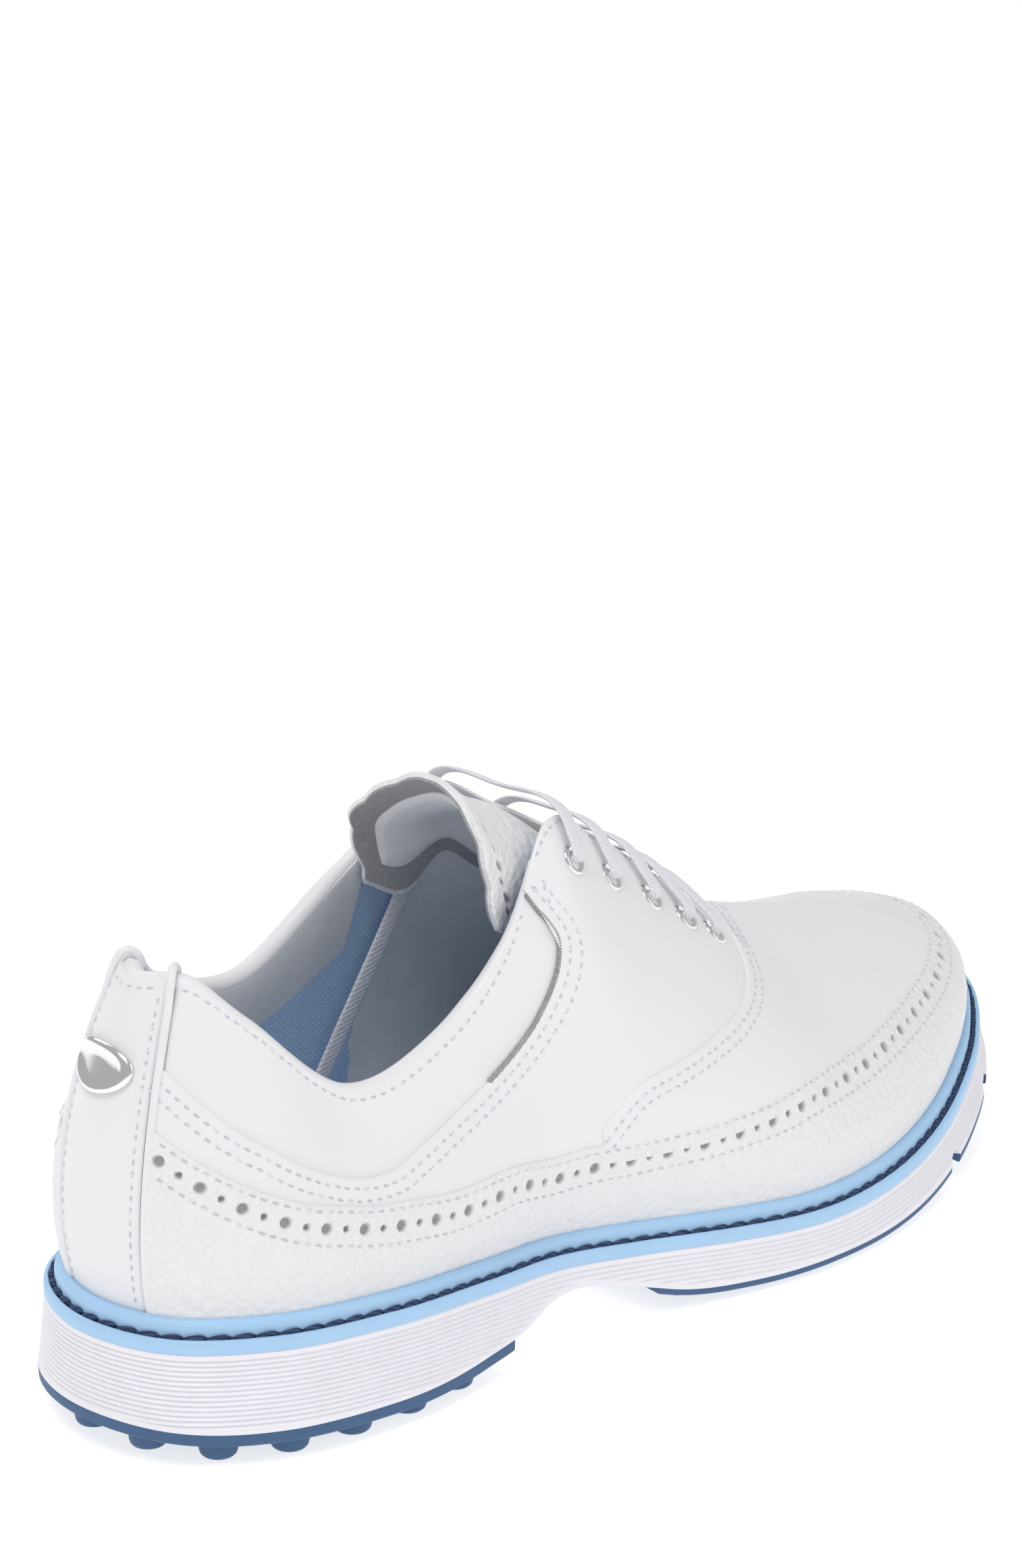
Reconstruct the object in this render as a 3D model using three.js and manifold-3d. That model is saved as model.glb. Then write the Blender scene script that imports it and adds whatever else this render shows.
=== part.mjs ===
// A right golf shoe, spikeless: leather upper on a stitched welt, foam midsole and rubber outsole.
// Millimetres. +X runs from heel to toe, +Y to the inner (medial) side, +Z up, and the lugs stand on Z = 0.
// Every leather piece is a patch of one surface. That surface is a loop of ribs: each rib is a Bezier
// curve from the feather line, where the upper meets the welt, to the topline or to the vamp's ridge.
import * as THREE from 'three';
import { mergeVertices } from 'three/addons/utils/BufferGeometryUtils.js';
import Module from 'manifold-3d';

const wasm = await Module();
wasm.setup();

// ---------- driving dimensions ----------
const CENTRE = [153, -0.84];           // middle of the bounding box, which becomes the origin
const SKIRT = 6.2;                     // the upper goes this far down behind the welt
const LEATHER = [0, 1.4];              // depth range of the outer leather
const STIFFENER = [2.2, 3.3];          // counter, toe puff and collar foam
const LINING_DEEP = [4.1, 5.0];        // lining behind foam, counter or toe puff
const LINING_THIN = [2.3, 3.0];        // lining behind the lace facing
const SEAM_GAP = 0.45;                 // clearance between neighbouring leather pieces
const WELT_RISE = 6.7;                 // welt height from the midsole to the feather line
const WELT_REACH = 5.9;                // welt width outside the feather line
const PIPING_RADIUS = 0.7;
const LACE_RADIUS = 1.1;
const LACE_DEPTH = 5;                  // how far behind the facings the hidden lace runs lie
const AGLET = { radius: 1.5, length: 18 };
const EYELET = { hole: 2.3, barrel: 2.7, flange: 3.9, flangeThick: 0.5 };
const LUG = { base: 4.9, tip: 3.6, sides: 10 };
const HEEL_PAD_FRONT = 93;
const FOREPART_START = 138;
const TOE_GROOVES = [246, 277];        // flex grooves across the toe of the sole

// Ribs from the heel back along the lateral side to the toe tip and back along the medial side:
// foot x, foot y, top x, top y, top z, foot handle out and up, top handle out and down.
const RIBS = [
  [8, 0, 22, 0, 106, 6, 24, 12, 20],
  [13, -20, 27, -13, 106, 6, 24, 9, 20],
  [30, -33, 38, -20, 95, 6, 22, 7, 16],
  [58, -39, 60, -27, 75, 5, 18, 5, 12],
  [88, -37.5, 87, -29, 81, 6, 20, 7, 14],
  [114, -35.5, 108, -27, 96, 7, 24, 10, 18],
  [138, -40, 127, -21, 119, 7, 26, 18, 18],
  [162, -47, 151, -12, 108, 7, 24, 22, 15],
  [186, -51.5, 178, -6, 90, 6, 20, 26, 10],
  [210, -50.5, 204, 3, 73, 6, 17, 28, 5],
  [233, -45, 224, 4, 66, 6, 16, 28, 2],
  [255, -36, 238, 5, 62.5, 6, 15, 26, 1],
  [275, -24, 246, 6, 61, 6, 14, 25, 1],
  [291, -8, 250, 6.5, 60, 4, 13, 25, 1],
  [298, 10, 251, 7, 60, 2.5, 13, 26, 1],
  [292.5, 27, 250, 7.2, 60, 3, 12, 24, 1],
  [276, 40, 245, 7, 61, 5, 13, 22, 2],
  [252, 48, 233, 6, 63.5, 5, 15, 22, 3],
  [224, 50, 214, 5, 69, 5, 17, 24, 5],
  [198, 47, 196, 5, 78, 6, 20, 24, 8],
  [170, 39, 170, 10, 96, 7, 24, 22, 12],
  [144, 31, 147, 15, 110, 7, 28, 18, 16],
  [118, 28, 127, 20, 119, 6, 28, 12, 20],
  [92, 28.5, 103, 26, 103, 6, 26, 6, 18],
  [64, 31, 72, 26, 86, 6, 22, 4, 14],
  [34, 30, 42, 20, 95, 6, 24, 6, 18],
  [15, 18, 29, 11, 106, 6, 24, 10, 20],
];
const TOE_RIB = 14;
const FEATHER_Z = [[0, 34], [50, 31.5], [100, 26.3], [150, 21.2], [200, 18.1], [240, 21.5], [270, 28.5], [300, 37.5]];
const SOLE_Z = [[0, 11.5], [15, 8.6], [40, 7.3], [84, 7.3], [96, 9], [106, 12.5], [118, 13], [132, 9.5], [148, 5],
  [165, 3.2], [190, 2.8], [212, 2.9], [230, 4.2], [250, 7.6], [270, 12.5], [290, 18.5], [306, 24]];
const RIDGE_X = 205.5;                 // the facings end here and the vamp closes over the foot

// ---------- small vector and curve helpers ----------
const add = (a, b, k = 1) => a.map((v, i) => v + k * b[i]);
const scale = (a, k) => a.map((v) => v * k);
const cross = (a, b) => [a[1] * b[2] - a[2] * b[1], a[2] * b[0] - a[0] * b[2], a[0] * b[1] - a[1] * b[0]];
const unit = (a) => scale(a, 1 / Math.hypot(...a));
const lerp = (a, b, k) => a + (b - a) * k;
const UP = [0, 0, 1];

// Smooth curve through values at uneven knots; a period closes it into a loop.
function smooth(knots, values, at, period = 0) {
  let k = knots, v = values, x = at;
  if (period) {
    const n = k.length;
    k = [k[n - 2] - period, k[n - 1] - period, ...k, k[0] + period, k[1] + period, k[2] + period];
    v = [v[n - 2], v[n - 1], ...v, v[0], v[1], v[2]];
    x = ((at % period) + period) % period;
  }
  let i = 0;
  while (i < k.length - 2 && x >= k[i + 1]) i++;
  const slope = (j) => {
    const left = Math.max(j - 1, 0), right = Math.min(j, k.length - 2);
    const secant = (m) => scale(add(v[m + 1], v[m], -1), 1 / (k[m + 1] - k[m]));
    if (left === right || j === 0 || j === k.length - 1) return secant(j === 0 ? 0 : k.length - 2);
    const dl = k[j] - k[j - 1], dr = k[j + 1] - k[j];
    return scale(add(scale(secant(left), dr), scale(secant(right), dl)), 1 / (dl + dr));
  };
  const h = k[i + 1] - k[i], t = period ? (x - k[i]) / h : Math.min(1, Math.max(0, (x - k[i]) / h));
  const a = 2 * t ** 3 - 3 * t ** 2 + 1, b = (t ** 3 - 2 * t ** 2 + t) * h;
  const c = -2 * t ** 3 + 3 * t ** 2, d = (t ** 3 - t ** 2) * h;
  const s0 = slope(i), s1 = slope(i + 1);
  return v[i].map((_, j) => a * v[i][j] + b * s0[j] + c * v[i + 1][j] + d * s1[j]);
}
const profile = (table) => (x) => smooth(table.map((p) => p[0]), table.map((p) => [p[1]]), x)[0];
const featherZ = profile(FEATHER_Z);
const soleZ = profile(SOLE_Z);

// Rib knots by chord length round the feather line, as shares of the whole loop.
const KNOTS = [0];
RIBS.forEach((rib, i) => {
  const next = RIBS[(i + 1) % RIBS.length];
  KNOTS.push(KNOTS[i] + Math.hypot(next[0] - rib[0], next[1] - rib[1]));
});
const LOOP = KNOTS.pop();
KNOTS.forEach((k, i) => { KNOTS[i] = k / LOOP; });
const TOE = KNOTS[TOE_RIB];

// ---------- the upper's surface ----------
// u is the share of the loop from the back of the heel, along the lateral side to the toe and back
// along the medial side. t runs from 0 at the feather line to 1 at the top; below 0 it is the skirt.
// s is the share of the way from the heel to the toe on one side, -1 lateral or +1 medial.
const loopShare = (side, s) => (side < 0 ? s * TOE : 1 - s * (1 - TOE));
const ridgePoint = (x) => [x, 3 + 0.081 * (x - 204), 73 - 0.36 * (x - 204) + 0.0018 * (x - 204) ** 2];
const ridgeSlope = (x) => -0.36 + 0.0036 * (x - 204);

function ribAt(u) {
  const rib = smooth(KNOTS, RIBS, u, 1);
  const ahead = smooth(KNOTS, RIBS, u + 1e-3, 1), behind = smooth(KNOTS, RIBS, u - 1e-3, 1);
  const along = unit([ahead[0] - behind[0], ahead[1] - behind[1], 0]);
  return { rib, out: [along[1], -along[0], 0] };
}
function bezier(u) {
  const { rib, out } = ribAt(u);
  const onRidge = rib[2] > RIDGE_X - 0.01;
  const foot = [rib[0], rib[1], featherZ(rib[0])];
  const top = onRidge ? ridgePoint(rib[2]) : rib.slice(2, 5);
  const tilt = onRidge ? ridgeSlope(rib[2]) * out[0] * rib[7] : 0;
  const low = add(add(foot, out, rib[5]), UP, rib[6]);
  const high = add(add(top, out, rib[7]), UP, tilt - rib[8]);
  return [foot, low, high, top];
}
function upperPoint(u, t) {
  const [p0, p1, p2, p3] = bezier(u);
  if (t < 0) return add(p0, UP, t * SKIRT);
  const q = 1 - t;
  return p0.map((v, i) => q ** 3 * v + 3 * q * q * t * p1[i] + 3 * q * t * t * p2[i] + t ** 3 * p3[i]);
}
function upperNormal(u, t) {
  const { rib, out } = ribAt(u);
  if (t < 0) return out;
  if (t > 0.999 && rib[2] > RIDGE_X - 0.01) return unit([-ridgeSlope(rib[2]), 0, 1]);
  const tt = Math.min(t, 0.97);
  const alongU = add(upperPoint(u + 1e-3, tt), upperPoint(u - 1e-3, tt), -1);
  const alongT = add(upperPoint(u, Math.min(tt + 0.01, 1)), upperPoint(u, Math.max(tt - 0.01, 0)), -1);
  return unit(cross(alongU, alongT));
}
const inside = (u, t, depth) => add(upperPoint(u, t), upperNormal(u, t), -depth);

// The value between lo and hi at which a rising function reaches a target.
function reach(rising, target, lo, hi) {
  for (let i = 0; i < 40; i++) {
    const mid = (lo + hi) / 2;
    if (rising(mid) < target) lo = mid; else hi = mid;
  }
  return (lo + hi) / 2;
}
const topX = (side, s) => ribAt(loopShare(side, s)).rib[2];
const sAtX = (side, x, t) => reach((s) => upperPoint(loopShare(side, s), t)[0], x, 0.02, 0.98);

// ---------- seams, as t along the way from heel to toe ----------
const STRIP_EDGE = 0.041, PIPING_AT = 0.0457, PANEL_START = 0.0505;
const COLLAR_END = 0.404, STEP_START = 0.407, FACING_START = 0.41, VAMP_START = 0.44, FACING_END = 0.645;
const THROAT = reach((s) => topX(-1, s), RIDGE_X, 0.5, 0.8);
const mudguardSeam = profile([[0.045, 0.555], [0.079, 0.48], [0.102, 0.44], [0.148, 0.395], [0.187, 0.405],
  [0.228, 0.4], [0.272, 0.355], [0.331, 0.33], [0.368, 0.285], [0.404, 0.26], [0.435, 0.24], [0.498, 0.255],
  [0.563, 0.31], [0.6, 0.355], [0.675, 0.42], [0.756, 0.47], [0.856, 0.5], [0.927, 0.535], [1, 0.6]]);
const collarSeam = profile([[0.049, 0.72], [0.061, 0.685], [0.077, 0.645], [0.102, 0.595], [0.128, 0.56],
  [0.152, 0.53], [0.177, 0.525], [0.203, 0.535], [0.228, 0.555], [0.25, 0.605], [0.283, 0.655], [0.333, 0.69],
  [0.386, 0.7], [0.43, 0.7]]);
const vampSeam = profile([[0.41, 0.265], [0.45, 0.345], [0.5, 0.405], [0.553, 0.49], [0.591, 0.585],
  [0.618, 0.695], [0.64, 0.83], [0.68, 1.05]]);
// The mudguard's top edge is at the same height on both sides.
function mudguardEdge(c) {
  const t = mudguardSeam(c.s);
  if (c.side < 0) return t;
  const height = upperPoint(loopShare(-1, c.s), t)[2];
  return reach((m) => upperPoint(c.u, m)[2], height, 0, 0.95);
}

// ---------- stations that every piece shares, so that neighbours meet along the same chords ----------
const STATIONS = [0, 0.02, STRIP_EDGE, PANEL_START, 0.07, 0.09, 0.12, 0.16, 0.2, 0.245, 0.29, 0.335, 0.375,
  COLLAR_END, STEP_START, FACING_START, VAMP_START, 0.475, 0.52, 0.56, 0.595, 0.62, FACING_END, THROAT, 0.71, 0.75, 0.79,
  0.83, 0.87, 0.91, 0.95, 1];
// A medial station has its top as far forward as the lateral one.
function station(side, s) {
  const own = side < 0 || s === 0 ? s : reach((m) => topX(1, m), topX(-1, s), 0, 0.999);
  return { side, s, u: loopShare(side, own), ridge: s > THROAT - 1e-6 };
}
const LATERAL = STATIONS.map((s) => station(-1, s));
const MEDIAL = STATIONS.slice(0, -1).map((s) => station(1, s));
const wholeLoop = [...LATERAL, ...MEDIAL.slice(1).reverse()];
const between = (list, from, to) => list.filter((c) => c.s > from - 1e-6 && c.s < to + 1e-6);
const oneSide = (side, from, to) => (side < 0 ? between(LATERAL, from, to) : between(MEDIAL, from, to).reverse());
const roundToe = (from) => wholeLoop.filter((c) => c.s > from - 1e-6);
const roundHeel = (to) => [...between(MEDIAL, 0.001, to).reverse(), ...between(LATERAL, 0, to)];

// ---------- meshes and solids ----------
const shoe = new THREE.Group();
const assembly = new THREE.Group();
assembly.position.set(-CENTRE[0], -CENTRE[1], 0);
shoe.add(assembly);

const paint = (color, roughness, metalness = 0) => new THREE.MeshStandardMaterial({ color, roughness, metalness });
const finish = {
  leather: paint(0xf1f1f3, 0.45),
  grain: paint(0xefefee, 0.5),
  lining: paint(0xe9e9ea, 0.8),
  textile: paint(0xaccbea, 0.9),
  board: paint(0xb79f7c, 0.9),
  foam: paint(0xf2eff4, 0.6),
  welt: paint(0xa9cdf0, 0.5),
  thread: paint(0x1f2f57, 0.8),
  rubber: paint(0x42628a, 0.6),
  metal: paint(0xd0d0d2, 0.2, 1),
  lace: paint(0xf4f3f7, 0.85),
};

// One mesh from triangles given by their corners; those without an area are left out.
function geometryFrom(triangles) {
  const flat = [];
  for (const tri of triangles) {
    const keys = tri.map((p) => p.map((v) => v.toFixed(3)).join());
    if (new Set(keys).size === 3) flat.push(...tri.flat());
  }
  const g = new THREE.BufferGeometry();
  g.setAttribute('position', new THREE.Float32BufferAttribute(flat, 3));
  return mergeVertices(g, 1e-3);
}
const quad = (a, b, c, d) => [[a, b, c], [a, c, d]];

function solidFrom(geometry) {
  const bare = geometry.clone();
  bare.deleteAttribute('normal');
  bare.deleteAttribute('uv');
  const merged = mergeVertices(bare, 1e-3);
  return new wasm.Manifold(new wasm.Mesh({
    numProp: 3, vertProperties: merged.attributes.position.array, triVerts: new Uint32Array(merged.index.array),
  }));
}
function geometryOf(solid) {
  const mesh = solid.getMesh();
  const g = new THREE.BufferGeometry();
  g.setAttribute('position', new THREE.Float32BufferAttribute(mesh.vertProperties, 3));
  g.setIndex(new THREE.BufferAttribute(mesh.triVerts, 1));
  return g;
}
// The same mesh with its faces turned outwards.
function facingOut(geometry) {
  const g = mergeVertices(geometry, 1e-3);
  const p = g.attributes.position, order = Array.from(g.index.array);
  const corner = (i) => [p.getX(order[i]), p.getY(order[i]), p.getZ(order[i])];
  let volume = 0;
  for (let i = 0; i < order.length; i += 3) {
    const [a, b, c] = [corner(i), corner(i + 1), corner(i + 2)], n = cross(a, b);
    volume += n[0] * c[0] + n[1] * c[1] + n[2] * c[2];
  }
  if (volume > 0) return g;
  for (let i = 0; i < order.length; i += 3) [order[i + 1], order[i + 2]] = [order[i + 2], order[i + 1]];
  g.setIndex(order);
  return g;
}
function put(name, geometry, material) {
  const mesh = new THREE.Mesh(geometry, material);
  mesh.name = name;
  assembly.add(mesh);
}

// A closed sheet between two grids of points, outer and inner. Rows marked open at their far end have no
// wall there, because they meet the other half of the same sheet.
function sheetFrom(outer, inner, openAt = () => false) {
  const tris = [], last = outer.length - 1, rows = outer[0].length - 1;
  for (let i = 0; i < last; i++) {
    for (let j = 0; j < rows; j++) {
      tris.push(...quad(outer[i][j], outer[i + 1][j], outer[i + 1][j + 1], outer[i][j + 1]));
      tris.push(...quad(inner[i][j], inner[i][j + 1], inner[i + 1][j + 1], inner[i + 1][j]));
    }
    tris.push(...quad(outer[i][0], inner[i][0], inner[i + 1][0], outer[i + 1][0]));
    if (!openAt(i)) tris.push(...quad(outer[i][rows], outer[i + 1][rows], inner[i + 1][rows], inner[i][rows]));
  }
  for (let j = 0; j < rows; j++) {
    tris.push(...quad(outer[0][j], outer[0][j + 1], inner[0][j + 1], inner[0][j]));
    tris.push(...quad(outer[last][j], inner[last][j], inner[last][j + 1], outer[last][j + 1]));
  }
  return facingOut(geometryFrom(tris));
}
// A sheet of the upper's surface between two depths; low and high give the t range at each station. One
// that starts on the skirt has a row of its own there, because the surface turns at the feather line.
function shell(columns, low, high, rows, depth, overRidge = false) {
  const depthAt = typeof depth === 'function' ? depth : () => depth;
  const grid = (layer) => columns.map((c) => {
    const from = low(c), start = Math.max(from, 0);
    const levels = Array.from({ length: rows + 1 }, (_, j) => lerp(start, high(c), j / rows));
    if (from < 0) levels.unshift(from);
    return levels.map((t) => inside(c.u, t, depthAt(c)[layer]));
  });
  return sheetFrom(grid(0), grid(1), (i) => overRidge && columns[i].ridge && columns[i + 1].ridge);
}
function seamStep(c) {
  const [p0, , , p3] = bezier(c.u);
  return SEAM_GAP / 2 / Math.hypot(...add(p3, p0, -1));
}
const above = (seam) => (c) => seam(c) + seamStep(c);
const below = (seam) => (c) => seam(c) - seamStep(c);
const top = () => 1;
const skirt = () => -1;

// A ring with the same cross-section all the way round the feather line: [outwards, up] points.
function ring(section) {
  const rows = wholeLoop.map(({ u }) => {
    const { rib, out } = ribAt(u);
    return section.map(([r, h]) => add([rib[0], rib[1], featherZ(rib[0]) + h], out, r));
  });
  const tris = [];
  rows.forEach((row, i) => {
    const next = rows[(i + 1) % rows.length];
    row.forEach((p, j) => {
      const k = (j + 1) % row.length;
      tris.push(...quad(p, next[j], next[k], row[k]));
    });
  });
  return facingOut(geometryFrom(tris));
}
// A plate with the outline of the feather line moved outwards, between two height functions.
function plate(reachTop, reachBottom, topZ, bottomZ) {
  const edge = (distance, height) => wholeLoop.map(({ u }) => {
    const { rib, out } = ribAt(u);
    return add([rib[0], rib[1], height(rib[0])], out, distance);
  });
  const up = edge(reachTop, topZ), down = edge(reachBottom, bottomZ), tris = [], count = up.length;
  up.forEach((p, i) => {
    const k = (i + 1) % count;
    tris.push(...quad(p, down[i], down[k], up[k]));
  });
  for (let i = 0; i < LATERAL.length - 1; i++) {
    const mirrorOf = (k) => (count - k) % count;
    tris.push(...quad(up[i], up[i + 1], up[mirrorOf(i + 1)], up[mirrorOf(i)]));
    tris.push(...quad(down[i], down[mirrorOf(i)], down[mirrorOf(i + 1)], down[i + 1]));
  }
  return facingOut(geometryFrom(tris));
}
function block(x0, x1, y0, y1, z0, z1) {
  return new THREE.BoxGeometry(x1 - x0, y1 - y0, z1 - z0).translate((x0 + x1) / 2, (y0 + y1) / 2, (z0 + z1) / 2);
}
// Turns a geometry made along Y so that it runs along an axis from a point.
function aim(geometry, point, axis) {
  const turn = new THREE.Quaternion().setFromUnitVectors(new THREE.Vector3(0, 1, 0), new THREE.Vector3(...axis));
  return geometry.applyQuaternion(turn).translate(...point);
}
function tube(points, radius, steps, sides) {
  const section = new THREE.Shape();
  for (let i = 0; i < sides; i++) {
    const a = (2 * Math.PI * i) / sides;
    if (i) section.lineTo(radius * Math.cos(a), radius * Math.sin(a));
    else section.moveTo(radius, 0);
  }
  section.closePath();
  const path = new THREE.CatmullRomCurve3(points.map((p) => new THREE.Vector3(...p)), false, 'centripetal');
  return new THREE.ExtrudeGeometry(section, { steps, bevelEnabled: false, extrudePath: path });
}

// ---------- sole ----------
const bedZ = (rise) => (x) => featherZ(x) - WELT_RISE + rise;
function buildMidsole() {
  let body = solidFrom(plate(WELT_REACH - 0.3, WELT_REACH + 2.2, bedZ(-0.3), soleZ));
  for (const x of TOE_GROOVES) {
    body = body.subtract(solidFrom(block(x - 2.2, x + 2.2, -80, 80, soleZ(x) - 12, soleZ(x) + 2.6)));
  }
  const shankBed = solidFrom(plate(-12, -12, bedZ(4), bedZ(-2.2)));
  return geometryOf(body.subtract(shankBed.intersect(solidFrom(block(74, 152, -9.5, 9.5, 0, 60)))));
}
function buildShank() {
  const strip = solidFrom(plate(-12, -12, bedZ(-0.6), bedZ(-1.9)));
  return geometryOf(strip.intersect(solidFrom(block(75, 151, -8.8, 8.8, 0, 60))));
}
// Places for lugs at a spacing along the outline, a distance outside the feather line.
function lugSpots(distance, spacing, fromX, toX) {
  const spots = [];
  let travelled = 0, previous = null;
  for (let i = 0; i <= 600; i++) {
    const { rib, out } = ribAt(i / 600);
    const p = add([rib[0], rib[1], 0], out, distance);
    if (previous) travelled += Math.hypot(p[0] - previous[0], p[1] - previous[1]);
    previous = p;
    if (travelled < spacing || p[0] < fromX || p[0] > toX) continue;
    spots.push(p);
    travelled = 0;
  }
  return spots;
}
// A rubber pad under the midsole with its lugs moulded on.
function buildPad(fromX, toX, thickness, lugs, lugSize) {
  const bottom = (x) => soleZ(x) - 0.4 - thickness;
  const whole = plate(WELT_REACH + 2, WELT_REACH + 1.4, (x) => soleZ(x) - 0.4, bottom);
  let pad = solidFrom(whole).intersect(solidFrom(block(fromX, toX, -80, 80, -20, 60)));
  for (const [x, y] of lugs) {
    const from = Math.max(0, bottom(x) - 4.5), to = bottom(x) + thickness / 2;
    const lug = new THREE.CylinderGeometry(LUG.base * lugSize, LUG.tip * lugSize, to - from, LUG.sides)
      .rotateX(Math.PI / 2).translate(x, y, (to + from) / 2);
    pad = pad.add(solidFrom(lug));
  }
  return geometryOf(pad);
}
function buildSole() {
  put('midsole', buildMidsole(), finish.foam);
  put('shank', buildShank(), finish.metal);
  const heelLugs = [...lugSpots(1, 15, 4, 86), [34, -8], [34, 9], [54, -9], [54, 10], [74, -8], [74, 9]];
  put('heel_outsole', buildPad(-20, HEEL_PAD_FRONT, 2.6, heelLugs, 1), finish.rubber);
  const foreLugs = [...lugSpots(-2, 16, 150, 236), [168, -22], [168, 0], [168, 20], [188, -28], [188, -6], [188, 16],
    [208, -26], [208, -4], [208, 18], [226, -14], [226, 10]];
  put('forefoot_outsole', buildPad(FOREPART_START, TOE_GROOVES[0] - 3, 1.3, foreLugs, 0.8), finish.rubber);
  put('toe_outsole_rear', buildPad(TOE_GROOVES[0] + 3, TOE_GROOVES[1] - 3, 1.8, [], 1), finish.rubber);
  put('toe_outsole_front', buildPad(TOE_GROOVES[1] + 3, 400, 1.8, [], 1), finish.rubber);
  put('welt', ring([[0.4, -0.4], [0.9, 0], [2.4, -0.1], [3.3, -1.1], [3.4, -4.4], [4.6, -4.4], [4.7, -3.4],
    [WELT_REACH - 0.4, -3.5], [WELT_REACH, -4.3], [WELT_REACH, -WELT_RISE], [0.4, -WELT_RISE]]), finish.welt);
  put('welt_thread', ring([[3.75, -4], [4.2, -4], [4.2, -3.3], [3.75, -3.3]]), finish.thread);
  put('insole_board', plate(-5.7, -5.7, bedZ(2.2), bedZ(0.2)), finish.board);
  put('footbed', plate(-5.7, -5.7, bedZ(5.6), bedZ(2.6)), finish.textile);
}

// ---------- eyelets ----------
const EYELET_PLACES = [[131, 0.865], [148, 0.855], [163, 0.84], [174.5, 0.815], [185, 0.79]];
const eyelets = [-1, 1].flatMap((side) => EYELET_PLACES.map(([x, t], row) => {
  const s = sAtX(side, x, t), u = loopShare(side, s);
  return { side, row, s, t, at: upperPoint(u, t), axis: upperNormal(u, t) };
}));
const sideName = (side) => (side < 0 ? 'lateral' : 'medial');
function punched(geometry, sides) {
  let solid = solidFrom(geometry);
  for (const e of eyelets.filter((one) => sides.includes(one.side))) {
    const drill = new THREE.CylinderGeometry(EYELET.barrel + 0.35, EYELET.barrel + 0.35, 8, 10).translate(0, -1, 0);
    solid = solid.subtract(solidFrom(aim(drill, e.at, e.axis)));
  }
  return geometryOf(solid);
}
function buildEyelets() {
  const { hole, barrel, flange, flangeThick } = EYELET, face = 0.45;
  const section = [[hole, -3.1], [barrel, -3.1], [barrel, face], [flange, face], [flange, face + flangeThick],
    [hole, face + flangeThick], [hole, -3.1]].map(([r, h]) => new THREE.Vector2(r, h));
  for (const e of eyelets) {
    const g = aim(new THREE.LatheGeometry(section, 10), e.at, e.axis);
    g.deleteAttribute('normal');
    g.deleteAttribute('uv');
    put(`eyelet_${sideName(e.side)}_${e.row + 1}`, facingOut(g), finish.metal);
  }
}

// ---------- upper ----------
const LINING_SPLIT = 0.63;
const blend = (from, to, start, end) => (c) => {
  const k = Math.min(1, Math.max(0, (c.s - start) / (end - start)));
  return from.map((v, i) => lerp(v, to[i], k));
};
const quarterLining = blend(LINING_DEEP, LINING_THIN, 0.335, FACING_START);
const vampLining = blend(LINING_THIN, LINING_DEEP, 0.71, 0.79);

function buildSidePanels(side) {
  const name = sideName(side), leather = finish.leather;
  const collar = (c) => collarSeam(c.s), vamp = (c) => vampSeam(c.s), split = () => LINING_SPLIT;
  const rear = oneSide(side, PANEL_START, COLLAR_END);
  put(`collar_${name}`, shell(rear, above(collar), top, 4, LEATHER), leather);
  const quarterLow = (c) => (c.s < VAMP_START - 1e-6 ? above(mudguardEdge)(c) : above(vamp)(c));
  const quarterTop = (c) => (c.s < FACING_START - 1e-6 ? below(collar)(c) : 1);
  const quarter = shell(oneSide(side, PANEL_START, FACING_END), quarterLow, quarterTop, 6, LEATHER);
  put(`quarter_${name}`, punched(quarter, [side]), leather);
  const lined = oneSide(side, 0.02, COLLAR_END);
  put(`collar_lining_${name}`, shell(lined, above(split), top, 3, quarterLining), finish.lining);
  put(`quarter_lining_${name}`, shell(lined, skirt, below(split), 4, quarterLining), finish.textile);
  const route = Array.from({ length: 13 }, (_, i) => (
    inside(station(side, PIPING_AT).u, lerp(-0.9, 0.99, i / 12), 0.5)
  ));
  put(`piping_${name}`, tube(route, PIPING_RADIUS, 16, 8), leather);
}
function buildUpper() {
  [-1, 1].forEach(buildSidePanels);
  put('heel_strip', shell(roundHeel(STRIP_EDGE), skirt, top, 8, LEATHER), finish.leather);
  const vampTop = (c) => (c.ridge ? 1 : vampSeam(c.s) - seamStep(c));
  put('vamp', shell(roundToe(VAMP_START), above(mudguardEdge), vampTop, 6, LEATHER, true), finish.leather);
  put('mudguard', shell(roundToe(PANEL_START), skirt, below(mudguardEdge), 4, LEATHER), finish.grain);
  const lining = shell(roundToe(FACING_START), skirt, top, 8, vampLining, true);
  put('vamp_lining', punched(lining, [-1, 1]), finish.lining);
  put('toe_puff', shell(roundToe(0.83), () => 0.02, () => 0.62, 5, STIFFENER), finish.board);
  put('heel_counter', shell(roundHeel(0.29), () => -0.9, () => 0.46, 3, STIFFENER), finish.board);
  put('collar_foam', shell(roundHeel(0.335), () => 0.5, () => 0.97, 4, STIFFENER), finish.foam);
}

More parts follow.
